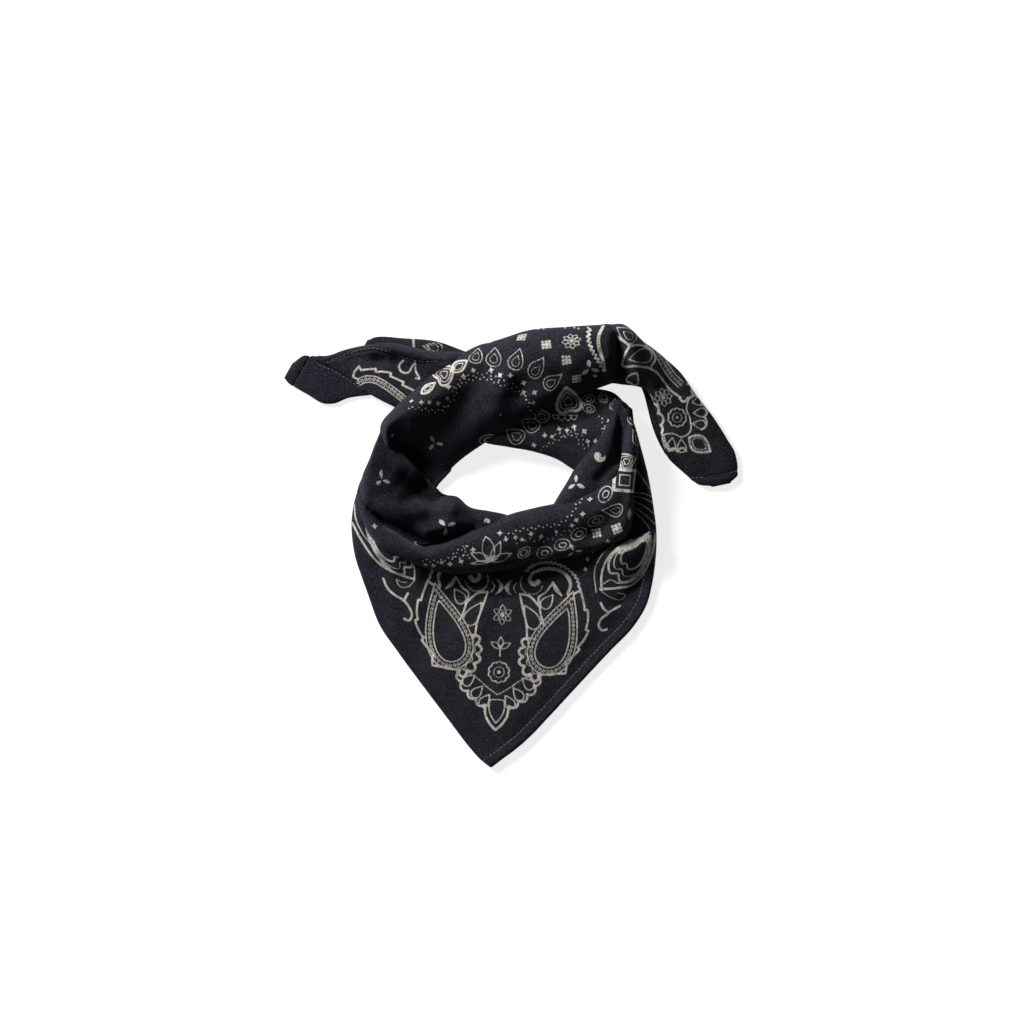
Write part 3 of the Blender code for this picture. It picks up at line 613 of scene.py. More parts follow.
def apron_grid(spacing):
    """Plan of the folded corner: the cloth's own square weave, its left edge carried along
    its right edge. Returns the points, and how far each is in from the left and right edge."""
    left = smooth_line(LEFT_EDGE, spacing)
    right = smooth_line(RIGHT_EDGE, spacing)
    plan = left[:, None] + (right - right[0])[None, :]
    from_right, from_left = np.indices(plan.shape[:2]) * spacing
    return plan, from_left, from_right


def under_roll(plan, inset=0):
    """Whether each four of a grid's points, by its middle, is short of the apron's end."""
    middle = (plan[:-1, :-1] + plan[1:, 1:]) / 2
    return middle[..., 1] < np.interp(middle[..., 0], *np.array(APRON_END).T) - inset


def apron_height(plan, from_left, from_right, seed):
    """Height of the front layer: flat cloth with soft swells, lifted over the hem, ridden up
    against the roll, turned down at its edges and at the top fold of its right side."""
    edge = np.clip(np.minimum(from_left, from_right) / EDGE_FADE, 0, 1)
    height = np.full(plan.shape[:-1], FRONT_TOP)
    for x, y, reach, rise in APRON_SWELLS:
        away = np.hypot(plan[..., 0] - x, plan[..., 1] - y)
        height += edge * rise * np.exp(-((away / reach) ** 2))
    height += HEM_RISE * (0.3 * smooth_step((HEM_WIDE + 0.6 - from_right) / HEM_STEP)
                          + 0.7 * np.clip((HEM_WIDE - from_right) / (HEM_WIDE - 2.2), 0, 1))
    height -= edge * (troughs(plan, APRON_CREASES) + ridge(plan, WING_VALLEY) + ridge(plan, CROSS_VALLEY))
    flat = np.concatenate([plan, np.zeros(plan.shape[:-1] + (1,))], axis=-1)
    height += (0.35 + 0.65 * edge) * ripples(flat, APRON_WAVES, seed)
    rise = np.maximum(ridge(plan, LEFT_RISE), ridge(plan, RIGHT_RISE))
    height += rise
    fold = np.interp(plan[..., 0], *np.array(RIGHT_FOLD).T)
    past = np.where(plan[..., 0] > RIGHT_FOLD[0][0], plan[..., 1] - fold, -FOLD_TURN)
    height -= rise * smooth_step((past + 0.5) / FOLD_TURN)
    near = np.minimum(from_left, from_right)
    turn = np.clip(near / (EDGE_TURN + EDGE_WIDER * np.maximum(height - EDGE_TOP, 0)), 0, 1)
    return EDGE_TOP + np.maximum(height - EDGE_TOP, 0) * np.sqrt(1 - (1 - turn) ** 2)


def smooth_step(t):
    """0 below 0, 1 above 1, and an S curve between."""
    t = np.clip(t, 0, 1)
    return t * t * (3 - 2 * t)


# ---------------------------------------------------------------- the print
# A stroke is rows of (u, v, half width) in mm; a motif is a list of strokes about its middle.
LINE, FINE, BOLD = 0.5, 0.36, 0.85     # half widths
WAVY_SPACING = 0.45                     # points of an edging
DOT_WAY = 0.05                          # a dot is a stroke this long


def stroke(points, half=LINE, close=False):
    """A stroke through the points, of even width, or of the widths given for each point."""
    points = np.asarray(points, float)
    if close:
        points = np.concatenate([points, points[:1]])
    half = np.broadcast_to(np.asarray(half, float), (len(points),))
    return np.column_stack([points, half])


def curve(points, half=LINE, spacing=1, shares=None):
    """A smooth stroke through the points. Several half widths change evenly from one to the
    next, at the shares of its length that are given, or at even ones."""
    line = smooth_line(points, spacing)
    if np.ndim(half):
        shares = np.linspace(0, 1, len(half)) if shares is None else shares
        half = np.interp(np.linspace(0, 1, len(line)), shares, half)
    return stroke(line, half)


def turned(strokes, degrees, x=0, y=0):
    """A motif turned and moved; its line widths stay."""
    a = np.radians(degrees)
    turn = np.array([[np.cos(a), -np.sin(a)], [np.sin(a), np.cos(a)]])
    return [np.column_stack([s[:, :2] @ turn.T + (x, y), s[:, 2]]) for s in strokes]


def round_turns(count):
    """That many even turns of a full circle."""
    return np.linspace(0, 2 * np.pi, count, endpoint=False)


def circle(turns):
    """Points of a circle of radius 1 at those turns."""
    return np.column_stack([np.cos(turns), np.sin(turns)])


def drop_line(long, wide, bend=0, count=44):
    """A paisley drop: the cosine along its length and the sine, narrowed towards the tip,
    across it, then bent sideways by the cube of the way to the tip. The tip is at +u."""
    t = round_turns(count)
    u = np.cos(t)
    v = np.sin(t) * np.abs(np.sin(t / 2)) ** 1.25
    v = v / np.abs(v).max()
    return np.column_stack([u * long / 2, v * wide / 2 + bend * (0.5 + u / 2) ** 3])


def outline(line, half=LINE):
    """A motif of one closed line."""
    return [stroke(line, half, True)]


def hanging_drop(long, wide, half=LINE):
    """One drop that points back to its root, as the small ones of the fans do."""
    return outline(drop_line(long, wide) * (-1, 1) + (4.5, 0), half)


def drop(long=14, wide=9, bend=3.6):
    """A drop with a smaller drop inside it."""
    inner = drop_line(0.5 * long, 0.5 * wide, 0.4 * bend) - (0.09 * long, 0)
    return [stroke(drop_line(long, wide, bend), 0.38, True), stroke(inner, 0.28, True)]


def oval(long=10.5, wide=8):
    """An oval with an oval ring inside it."""
    ring = circle(round_turns(30)) * (long / 2, wide / 2)
    return [stroke(ring, FINE, True), stroke(ring * 0.45 + (0.3, -0.2), 0.42, True)]


def star(size=4.4):
    """A small four-pointed star: two crossed strokes, thick in the middle."""
    reach = size / 2
    thick = [0.12, 0.22 * reach, 0.5 * reach, 0.22 * reach, 0.12]
    way = np.array([-1, -0.5, 0, 0.5, 1]) * reach
    return [stroke(np.column_stack([way, 0 * way]), thick),
            stroke(np.column_stack([0 * way, way]), thick)]


def dot(size=1.1):
    """A round dot."""
    return [stroke([(0, 0), (DOT_WAY, 0)], size / 2)]


def block(size=6):
    """A square of nine small dots, with a bar through its middle row and column."""
    step = size * 0.36
    spots = [(i * step, j * step) for i in (-1, 0, 1) for j in (-1, 0, 1)]
    made = [stroke([(u - DOT_WAY, v), (u + DOT_WAY, v)], 0.155 * size) for u, v in spots]
    return made + [stroke([(-step, 0), (step, 0)], 0.8), stroke([(0, -step), (0, step)], 0.8)]


def petal_line(long, wide, count=17):
    """A pointed petal from its base at the middle to its tip at +u: a sine hump each way."""
    s = np.linspace(0, 1, count)
    hump = np.sin(np.pi * s ** 0.85) * wide / 2
    rim = np.column_stack([s * long, hump])
    return np.concatenate([rim, (rim * (1, -1))[::-1][1:-1]])


def petal(long, wide, half=LINE, inner=0):
    """A petal, with a smaller one inside it if `inner` gives its share."""
    made = [stroke(petal_line(long, wide), half, True)]
    if inner:
        forward = (long * (1 - inner) * 0.45, 0)
        made.append(stroke(petal_line(long * inner, wide * inner) + forward, 0.36, True))
    return made


def daisy(size=11, petals=8):
    """An open flower: narrow petals in a ring round a dot."""
    made = dot(size * 0.22)
    for k in range(petals):
        one = turned(petal(0.32 * size, 0.24 * size, FINE), 0, 0.18 * size, 0)
        made += turned(one, 360 * k / petals)
    return made


def rosette(size=16, petals=10):
    """A ring of small round petals round a ring with a dot in it."""
    made = dot(size * 0.16) + [stroke(circle(round_turns(28)) * size * 0.24, FINE, True)]
    lobes = 1 + 0.16 * np.abs(np.sin(petals * np.linspace(0, np.pi, 140, endpoint=False)))
    return made + [stroke(circle(round_turns(140)) * (lobes * size * 0.42)[:, None], LINE, True)]


def trefoil(size=10):
    """Three small filled petals."""
    made = []
    for degrees in (80, 200, 320):
        way = np.linspace(0.1, 0.56, 6) * size
        one = [stroke(np.column_stack([way, 0 * way]), [0.35, 0.07 * size, 0.11 * size, 0.12 * size,
                                                        0.09 * size, 0.3])]
        made += turned(one, degrees)
    return made


def comma(size=9):
    """A filled comma: a tapering stroke on an arc, thick at its head."""
    t = np.linspace(0, 1, 12)
    path = circle(np.radians(200 * t - 20)) * (0.26 * size * (1 - 0.25 * t))[:, None]
    return [stroke(path, 0.2 * size * (1 - t) ** 0.8 + 0.25)]


def spade(size=17, rings=3, half=BOLD):
    """Nested spade leaves: a drop outline with a dented foot, drawn smaller and smaller."""
    t = round_turns(60)
    u = np.cos(t) + 0.3 * np.exp(-((t - np.pi) / 0.42) ** 2)
    v = np.sin(t) * np.abs(np.sin(t / 2)) ** 0.9 * 1.15
    line = np.column_stack([u, v]) * size / 2
    return [stroke(line * share, half if k == 0 else FINE, True)
            for k, share in enumerate(np.linspace(1, 0.36, rings))]


def heart_leaf(long, wide, rings=4):
    """A nested leaf: a drop with a dented foot, drawn smaller and smaller towards its tip,
    where the lines run close."""
    t = round_turns(130)
    u = np.cos(t) + 0.22 * np.exp(-((t - np.pi) / 0.2) ** 2)
    v = np.sin(t) * np.abs(np.sin(t / 2)) ** 0.9
    v = v / np.abs(v).max()
    line = np.column_stack([u * long / 2, v * wide / 2])
    middle = np.array([0.22 * long, 0])
    return [stroke(middle + (line - middle) * share, (0.8, 0.45, 0.7, 0.42, 0.6)[k % 5], True)
            for k, share in enumerate((1, 0.83, 0.62, 0.44, 0.26)[:rings])]


def diamond(size=13, half=BOLD):
    """A square on its corner with a smaller one inside."""
    square = np.array([(1, 0), (0, 1), (-1, 0), (0, -1)]) * size / 2
    return [stroke(square, half, True), stroke(square * 0.5, FINE, True)]


def lily(size=20):
    """A fan of open petals over a tuft of short strokes."""
    made = []
    for degrees, share, wide in ((102, 1, 0.46), (60, 0.78, 0.3), (18, 0.8, 0.26), (158, 0.8, 0.3),
                                 (190, 0.72, 0.14)):
        made += turned(petal(size * share, size * wide, 0.42), degrees)
    for degrees in range(20, 180, 26):
        made += turned([stroke([(0.6, 0), (0.24 * size, 0)], [0.8, 0.3])], degrees)
    return made


def beside(line, away):
    """A line shifted sideways: each point moved by `away` along the line's left-hand normal."""
    line = np.asarray(line, float)
    heading = np.gradient(line, axis=0)
    heading /= np.maximum(np.linalg.norm(heading, axis=1, keepdims=True), 1e-9)
    return line + np.column_stack([-heading[:, 1], heading[:, 0]]) * np.asarray(away)[..., None]


def wavy(points, pitch, height, half=LINE, shape="scallop", side=1):
    """An edging along a line: scallops are humps of a sine, a zigzag is a triangle wave, and
    steps rise slowly and fall at once, like the edge of a torn leaf."""
    line = smooth_line(points, WAVY_SPACING)
    walked = np.arange(len(line)) * WAVY_SPACING
    count = max(round(walked[-1] / pitch), 1)
    phase = walked / walked[-1] * count
    part = phase % 1
    rise = {"scallop": np.abs(np.sin(np.pi * phase)) ** 0.7,
            "zigzag": 1 - np.abs(2 * part - 1),
            "steps": np.where(phase >= count, 0, part)}[shape]
    return [stroke(beside(line, side * height * rise), half)]


def ring_row(points, pitch=3.1, radius=2.3 / 2.35):
    """A row of little rings along a line."""
    ring = circle(np.linspace(0, 2 * np.pi, 9)) * radius
    return [stroke(ring + spot, 0.34) for spot in smooth_line(points, pitch)]


def beaded_rail(points, wide, half):
    """Two lines side by side, `wide` apart, with a row of little rings between them."""
    rail = smooth_line(points, 1)
    other, middle = beside(rail, np.full(len(rail), wide)), beside(rail, np.full(len(rail), wide / 2))
    return [stroke(rail, half), stroke(other, half)] + ring_row(middle)


def beaded_drop(long, wide, bend, strip=5.6):
    """The large paisley: two drop outlines with a row of little rings between them."""
    outer = drop_line(long, wide, bend, 160)
    middle = beside(outer, np.full(len(outer), strip / 2))[14:146]
    inner = beside(outer, np.full(len(outer), strip))[22:138]
    made = ring_row(middle[::4], 3.15, 0.98)
    return made + [stroke(outer, 0.5, True), stroke(inner, 0.5, True)]


# ---------------------------------------------------------------- ink on the cloth
def ink_of(points, strokes):
    """For every point of the cloth, the distance to the nearest printed stroke less the
    stroke's half width there, in mm. The points are sorted into squares in plan, and each
    piece of stroke is tried against its own square and the eight round it."""
    ink = np.full(len(points), INK_REACH)
    if not strokes:
        return ink
    start = np.concatenate([s[:-1] for s in strokes])
    end = np.concatenate([s[1:] for s in strokes])
    parts = np.maximum(np.ceil(np.linalg.norm(end[:, :3] - start[:, :3], axis=1) / INK_PART), 1).astype(int)
    which = np.repeat(np.arange(len(start)), parts)
    step = np.arange(len(which)) - np.repeat(np.cumsum(parts) - parts, parts)
    low, high = (step / parts[which])[:, None], ((step + 1) / parts[which])[:, None]
    start, end = (start[which] * (1 - low) + end[which] * low,
                  start[which] * (1 - high) + end[which] * high)
    square = np.floor(points[:, :2] / INK_CELL).astype(int) @ np.array([1, CELL_SPAN])
    order = np.argsort(square, kind="stable")
    in_order = square[order]
    home = np.floor((start[:, :2] + end[:, :2]) / 2 / INK_CELL).astype(int) @ np.array([1, CELL_SPAN])
    for step_x in (-1, 0, 1):
        for step_y in (-1, 0, 1):
            wanted = home + step_x + CELL_SPAN * step_y
            first = np.searchsorted(in_order, wanted, side="left")
            count = np.searchsorted(in_order, wanted, side="right") - first
            piece = np.repeat(np.arange(len(start)), count)
            place = np.arange(len(piece)) - np.repeat(np.cumsum(count) - count, count)
            spot = order[first[piece] + place]
            a, b = start[piece], end[piece]
            run = b[:, :3] - a[:, :3]
            t = np.sum((points[spot] - a[:, :3]) * run, axis=1) / np.maximum(np.sum(run**2, axis=1), 1e-9)
            t = np.clip(t, 0, 1)
            away = np.linalg.norm(points[spot] - a[:, :3] - t[:, None] * run, axis=1)
            np.minimum.at(ink, spot, away - (a[:, 3] * (1 - t) + b[:, 3] * t))
    return ink


# ---------------------------------------------------------------- finishes
# The darker and the lighter fibres of each.
PRINTED_GROUND = (0.004, 0.004, 0.0062, 1), (0.024, 0.024, 0.031, 1)
PLAIN_GROUND = (0.0044, 0.0049, 0.0078, 1), (0.022, 0.0245, 0.032, 1)
PALE_INK = (0.35, 0.33, 0.29, 1), (0.53, 0.505, 0.455, 1)
GREY_THREAD = (0.05, 0.05, 0.055, 1), (0.17, 0.17, 0.175, 1)
WHITE = (1, 1, 1, 1)
# How many features each has in a metre.
NAP, FIBRES, CLOUDS, WEAR, WEAVE, TWIST = 1500, 900, 55, 160, 210, 2400


def add(tree, kind, links=(), **values):
    """One shader node: its settings, then its inputs by number or name, linked or set."""
    made = tree.nodes.new(kind)
    for name, value in values.items():
        setattr(made, name, value)
    for socket, source in dict(links).items():
        if isinstance(source, bpy.types.NodeSocket):
            tree.links.new(source, made.inputs[socket])
        else:
            made.inputs[socket].default_value = source
    return made


def noise(tree, place, scale, detail=2, roughness=0.5):
    """Noise of that many features a metre, as a socket."""
    made = add(tree, "ShaderNodeTexNoise", {"Vector": place, "Scale": scale, "Detail": detail,
                                            "Roughness": roughness})
    return made.outputs["Fac"]


def sums(tree, operation, *terms, clamp=False):
    """A math node of two or three terms, as a socket."""
    return add(tree, "ShaderNodeMath", enumerate(terms), operation=operation, use_clamp=clamp).outputs[0]


def ramp(tree, value, low, high, to_low=0, to_high=1):
    """A smooth rise of a value between two limits, as a socket."""
    made = add(tree, "ShaderNodeMapRange", {"Value": value, "From Min": low, "From Max": high,
                                            "To Min": to_low, "To Max": to_high},
               interpolation_type="SMOOTHSTEP")
    return made.outputs["Result"]


def blend(tree, share, first, second):
    """A mix of two colours, as a socket."""
    return add(tree, "ShaderNodeMix", {0: share, 6: first, 7: second}, data_type="RGBA").outputs[2]


def new_finish(name, roughness):
    """A material, with its tree and its shader."""
    made = bpy.data.materials.new(name)
    made.use_nodes = True
    tree = made.node_tree
    shader = tree.nodes["Principled BSDF"]
    shader.inputs["Roughness"].default_value = roughness
    return made, tree, shader


def raise_nap(tree, shader, height, strength, distance):
    """Bump of that height in metres on a shader."""
    bump = add(tree, "ShaderNodeBump", {"Height": height, "Strength": strength, "Distance": distance})
    tree.links.new(bump.outputs[0], shader.inputs["Normal"])


def cloth_finish(name, dark, light, printed):
    """Brushed cotton: a dark ground that wanders a little in shade, flecked with lighter
    fibres along the weave, a raised nap, a soft sheen, and the print, whose edges are
    frayed by the nap and whose lines are broken by dark fibres."""
    made, tree, shader = new_finish(name, 0.92)
    place = add(tree, "ShaderNodeTexCoord").outputs["Object"]
    weave = add(tree, "ShaderNodeAttribute", attribute_name="weave").outputs["Vector"]
    drawn = add(tree, "ShaderNodeMapping", {"Vector": weave, "Scale": (0.45, 1, 1)}).outputs[0]
    nap = noise(tree, drawn, NAP, 3, 0.62)
    fibre = noise(tree, place, FIBRES, 3, 0.6)
    cloud = noise(tree, place, CLOUDS, 3)
    fleck = sums(tree, "MULTIPLY_ADD", nap, 0.5, -0.25)
    fleck = sums(tree, "ADD", ramp(tree, fibre, 0.42, 0.66), fleck, clamp=True)
    shade = sums(tree, "MULTIPLY_ADD", cloud, 0.5, -0.1)
    shade = sums(tree, "ADD", shade, sums(tree, "MULTIPLY", fleck, 0.8), clamp=True)
    ground = blend(tree, shade, dark, light)
    colour = ground
    if printed:
        ink = add(tree, "ShaderNodeAttribute", attribute_name="ink").outputs["Fac"]
        frayed = sums(tree, "ADD", ink, sums(tree, "MULTIPLY_ADD", nap, 0.9, -0.45))
        frayed = sums(tree, "ADD", frayed, sums(tree, "MULTIPLY_ADD", fibre, 0.6, -0.3))
        mask = ramp(tree, frayed, 0.2, -0.22)
        broken = ramp(tree, fibre, 0.3, 0.52, 0.45, 1)
        thin = ramp(tree, noise(tree, place, WEAR, 2), 0.28, 0.62, 0.62, 0.95)
        strong = sums(tree, "MULTIPLY", sums(tree, "MULTIPLY", mask, broken), thin)
        pale = blend(tree, fleck, *PALE_INK)
        colour = blend(tree, strong, ground, pale)
    tree.links.new(colour, shader.inputs["Base Color"])
    threads = add(tree, "ShaderNodeTexWave", {"Vector": weave, "Scale": WEAVE, "Distortion": 3,
                                              "Detail": 2, "Detail Scale": 3},
                  bands_direction="X").outputs["Fac"]
    rough = sums(tree, "ADD", sums(tree, "MULTIPLY", nap, 0.8), sums(tree, "MULTIPLY", threads, 0.2))
    rough = sums(tree, "ADD", rough, sums(tree, "MULTIPLY", fibre, 0.35))
    raise_nap(tree, shader, rough, 0.75, 0.0006)
    shader.inputs["Specular IOR Level"].default_value = 0.06
    shader.inputs["Sheen Weight"].default_value = 0.05
    shader.inputs["Sheen Roughness"].default_value = 0.45
    shader.inputs["Sheen Tint"].default_value = (0.62, 0.72, 1, 1)
    return made


def thread_finish():
    """Twisted grey sewing thread."""
    made, tree, shader = new_finish("sewing_thread", 0.7)
    place = add(tree, "ShaderNodeTexCoord").outputs["Object"]
    twist = noise(tree, place, TWIST, 2)
    colour = blend(tree, twist, *GREY_THREAD)
    tree.links.new(colour, shader.inputs["Base Color"])
    raise_nap(tree, shader, twist, 0.5, 0.0001)
    return made


PRINTED = cloth_finish("printed_cotton", *PRINTED_GROUND, True)
PLAIN = cloth_finish("border_cotton", *PLAIN_GROUND, False)
THREAD = thread_finish()


# ---------------------------------------------------------------- making the pieces
def new_piece(name, spots, faces, finish):
    """A smooth object of one finish, from points in mm and faces."""
    mesh = bpy.data.meshes.new(name)
    mesh.from_pydata((spots * MM).tolist(), [], faces)
    mesh.materials.append(finish)
    mesh.shade_smooth()
    made = bpy.data.objects.new(name, mesh)
    bpy.context.scene.collection.objects.link(made)
    return made


def shell(cloth, finish, keep=None, thick=SHELL):
    """The mesh of a stretch of cloth: its grid of points joined in fours, turned to face
    outwards, with the ink and the place on the flat cloth kept at each point, and a wall
    of even thickness inwards. `keep` leaves out the fours that lie hidden."""
    points = cloth.points
    rows, columns = points.shape[:2]
    index = np.arange(rows * columns).reshape(rows, columns)
    onward = np.roll(index, -1, axis=1) if cloth.ring else index[:, 1:]
    base = index if cloth.ring else index[:, :-1]
    fours = np.stack([base[:-1], onward[:-1], onward[1:], base[1:]], axis=-1)
    if keep is not None:
        fours = fours[keep]
    fours = fours.reshape(-1, 4)
    if cloth.facing > 0:
        fours = fours[:, ::-1]
    used, fours = np.unique(fours, return_inverse=True)
    fours = fours.reshape(-1, 4)
    made = new_piece(cloth.name, points.reshape(-1, 3)[used], fours.tolist(), finish)
    ink = made.data.attributes.new("ink", "FLOAT", "POINT")
    ink.data.foreach_set("value", cloth.ink(used).astype(np.float32))
    weave = made.data.attributes.new("weave", "FLOAT_VECTOR", "POINT")
    flat = np.column_stack([cloth.flat.reshape(-1, 2)[used], np.zeros(len(used))]) * MM
    weave.data.foreach_set("vector", flat.astype(np.float32).ravel())
    wall = made.modifiers.new("cloth thickness", "SOLIDIFY")
    wall.thickness = thick * MM
    wall.offset = -1
    wall.use_even_offset = False
    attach(made, "root")
    return made


def declare(made, nodes):
    """Hides the solids that a piece of cloth stands for."""
    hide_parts(*nodes)


def stitches(cloth, line, pitch=3.2, long=2.3, radius=0.19):
    """A row of stitches along a line in plan: each is a six-sided thread between two points
    of the cloth, drawn in at its ends. Returns its points and faces, in mm."""
    path = smooth_line(line, pitch)
    heading = np.gradient(path, axis=0)
    heading /= np.linalg.norm(heading, axis=1, keepdims=True)
    ends = [np.array([cloth.spot_at(*spot) for spot in path + side * heading * long / 2])
            for side in (-1, 1)]
    share, girth = np.array([0, 0.14, 0.86, 1]), np.array([0.25, 1, 1, 0.25]) * radius
    lift = np.array([-0.1, 0.12, 0.12, -0.1])
    middle = ends[0][:, None] * (1 - share)[:, None] + ends[1][:, None] * share[:, None]
    middle[..., 2] += lift
    angle = np.arange(6) * np.pi / 3
    aside = np.column_stack([-heading[:, 1], heading[:, 0], 0 * heading[:, 0]])
    ring = np.cos(angle)[:, None] * aside[:, None, None] + np.sin(angle)[:, None] * (0, 0, 1)
    points = middle[:, :, None] + ring * girth[:, None, None]
    ids = np.arange(points[..., 0].size).reshape(points.shape[:3])
    ahead = np.roll(ids, -1, axis=2)
    sides = np.stack([ids[:, :-1], ids[:, 1:], ahead[:, 1:], ahead[:, :-1]], axis=-1).reshape(-1, 4)
    return points.reshape(-1, 3), sides.tolist() + ids[:, 0].tolist() + ids[:, -1, ::-1].tolist()


def sew(name, rows):
    """One object of all the rows of stitches."""
    points, faces, count = [], [], 0
    for spots, sides in rows:
        points.append(spots)
        faces += [[corner + count for corner in side] for side in sides]
        count += len(spots)
    made = new_piece(name, np.concatenate(points), faces, THREAD)
    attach(made, "root")


BACK_PRINT = [
    (drop(14.5, 10.5), -25, 142.5, 58), (drop(15.5, 11.5), -11.8, 141, 66),
    (drop(16.5, 11.5), 5, 139, 56), (drop(15.5, 11), 19.5, 131, 34), (drop(15.5, 10.5), 31.5, 121.8, 22),
    (block(7), 7.5, 155.5, 4), (block(7.2), 25.7, 150, 6), (block(6.8), 41, 138, 4),
    (block(6.6), 48.7, 124.5, 8), (block(6), -17, 152, 10), (daisy(14), 45, 152.5, 12),
    (trefoil(13), 58, 132, 20), (star(4), 62.5, 126.5, 0), (star(4.4), -74, 108, 10),
    (star(4.6), -67, 106.5, 0), (star(4.8), -54, 106, 20), (star(5.4), -46.5, 118.5, 5),
    (star(4.8), -47.5, 110, 30), (star(4.8), -35.5, 126, 0), (star(4.6), -60.5, 106.5, 30),
    (star(4.8), -28, 130.5, 15), (star(5.2), -15, 131, 8), (star(5.2), -8.5, 127, 40),
    (star(5), -1, 126.8, 0), (star(5), 9, 121.3, 20), (star(4.6), 9.3, 114.5, 10),
    (star(5), 17.5, 114, 30), (star(5), 16.5, 106.8, 12), (comma(4), -88, 82, 100),
    (trefoil(11.5), -57.5, 76.5, 30), (dot(1.6), -8.5, 97.5, 0),
]
KNOT_LAID = [
    (spade(20, 3, 1.15), 42.5, 108, 100), (oval(9.5, 7), 57.5, 109.5, 20), (oval(9, 6), 58, 102.5, -10),
]
BACK_LAID = KNOT_LAID + [
    (spade(17, 3, 0.8), -50, 128, 38), (petal(14, 8, 0.7, 0.55), -44.5, 130, 35),
    (petal(13, 5.5, 0.7, 0.5), -67, 113.5, 38), (oval(12, 6.5), -18, 79.5, 15),
]
BACK_DOTS = [
    ([(-51, 101), (-43.5, 108.5), (-39, 119), (-32, 123), (-20.5, 125), (-10, 121), (-1.5, 117),
        (6, 114.5), (12, 108.5), (13.5, 101)], 2.8),
    ([(-76, 103), (-64, 101.5), (-55, 100.5), (-48, 104.5)], 2.4),
    ([(-44, 115), (-38, 123), (-30, 127), (-18, 128), (-6, 122.5), (4, 119)], 3.4),
]
BACK_SPECKS = [
    (-14, 156), (-9.5, 157.3), (12, 161), (15, 161.8), (20, 162), (24, 162.2), (40, 163), (47, 163),
    (50, 162),
]
UNDER_PRINT = [
    (drop(14, 11.5), 14, 91.5, 130), (drop(14.5, 12), 2.8, 83.5, 130), (drop(12, 10), 22.5, 98.5, 120),
    (star(5), 17, 75, 10), (star(4.6), 24.5, 82.5, 0), (star(4.6), 30.5, 82, 30),
    (star(4.8), 36, 87.5, 12), (star(4.8), 41, 86.5, 0), (star(5), 47, 89.5, 22),
    (star(5.4), 54.5, 86, 35), (star(4.8), 57, 78.5, 10), (star(4.6), 63, 78.5, 0),
    (star(4.6), 72.5, 93, 12), (star(4.8), 70, 87.5, 0), (drop(10, 7), 69.5, 111.5, 60),
    (drop(9, 6.5), 78, 105, 50),
]
UNDER_DOTS = [
    ([(22, 72), (28, 76), (34, 79), (41, 82), (48, 83), (50.5, 77), (55, 73.5)], 2.6),
    ([(33, 84), (39, 83), (46, 86), (52, 82), (58, 75)], 3), ([(66, 97), (69, 91), (67.5, 85)], 2.6),
]
STRIP_PRINT = [(comma(12), 67.5, 67, 195), (trefoil(12), 48.5, 46.5, 250)]
LOBE_PRINT = [(trefoil(11.5), -96.5, 49.5, 20), (trefoil(13.5), -48, 14.5, 60), (comma(6), -19, 18, 30)]
ROLL_PRINT = [
    (star(), -109.5, 37, 0), (star(5.2), -99.5, 22, 20), (star(5.2), -102, 15, 0),
    (comma(6), -71, 1.5, 150), (star(4.8), -64, -14, 0), (star(4.8), -58, -15, 12),
    (star(5), -45.5, -13.5, 0), (star(4.2), -51.5, -12.5, 30), (star(5), -37.5, -11.5, 25),
    (star(4.6), -28.5, -3, 10), (star(4.6), -8.5, 9.5, 0), (star(4.2), -4, 4.5, 20), (star(4.6), 3, 6, 0),
    (star(4.2), 8.5, 5, 30), (star(4.8), 15, 9, 10), (star(5), 22.5, 7, 0), (star(4.6), 33.5, 10.5, 20),
    (star(4.8), 45, 15, 5), (star(4.8), 48.5, 19.5, 30), (star(4.8), 53.5, 24, 0),
    (star(5.2), 58.5, 35, 10), (lily(21), -15, -11.5, 0), (petal(12, 8, FINE, 0.55), 5.5, -9, 42),
    (oval(11.5, 9), 24.5, -5, 10), (oval(12, 8.5), 38, 1, 12), (oval(12.5, 9), 50.5, 9.5, 24),
    (oval(12.5, 8.5), 62.5, 18.5, 28), (drop(15.5, 10.5), 76, 27, 165), (block(7.4), 79, 12.5, 20),
    (block(6.8), 64, 9.5, 10), (trefoil(11), 47, -4, 30), (star(4.8), 72, 3.5, 10),
]
ROLL_LAID = [
    (diamond(22, 1.2), 84.5, 49, 40), (spade(14, 3, 0.6), 86, 63, 20), (star(4.8), 90, 11, 0),
    (oval(13, 9), 70, 38.5, 60), (drop(12, 8), 94.5, 81, 95), (oval(11, 8), 90.5, 95.5, 110),
    ([stroke([(-4, 0), (0, 0), (4, 0)], [0.5, 1.5, 0.4])], 88, 24, 85),
]
ROLL_DOTS = [
    ([(-4.5, 7.5), (3, 10.5), (9.5, 12.5), (16, 13), (24, 14.8), (30.5, 15), (36.5, 16.8), (42, 21),
        (46.5, 26), (49, 31.5), (53, 34.5)], 2.9),
    ([(-108, 45), (-107, 38), (-105, 31.5), (-100, 26), (-94, 20)], 2.4),
    ([(-104, 38), (-101, 32), (-97.5, 27.5)], 2.4),
    ([(-44, -8), (-41, -4.5), (-37, -2), (-33, 1), (-35, -6), (-31, -8.5)], 2.2),
    ([(-66, -10.5), (-56, -11.5), (-46, -9.5), (-36, -8)], 2.8),
    ([(4, 2.5), (12, 5), (24, 3.5), (34, 7.5), (43, 12)], 3.4),
]


def loose_dots(points, pitch, size=1.2, sway=0.7):
    """A chain of small dots along a line, a little to one side and the other by turns."""
    line = smooth_line(points, pitch)
    away = sway * np.where(np.arange(len(line)) % 2, 1, -1)
    return [stroke([spot, spot + (DOT_WAY, 0)], size / 2) for spot in beside(line, away)]


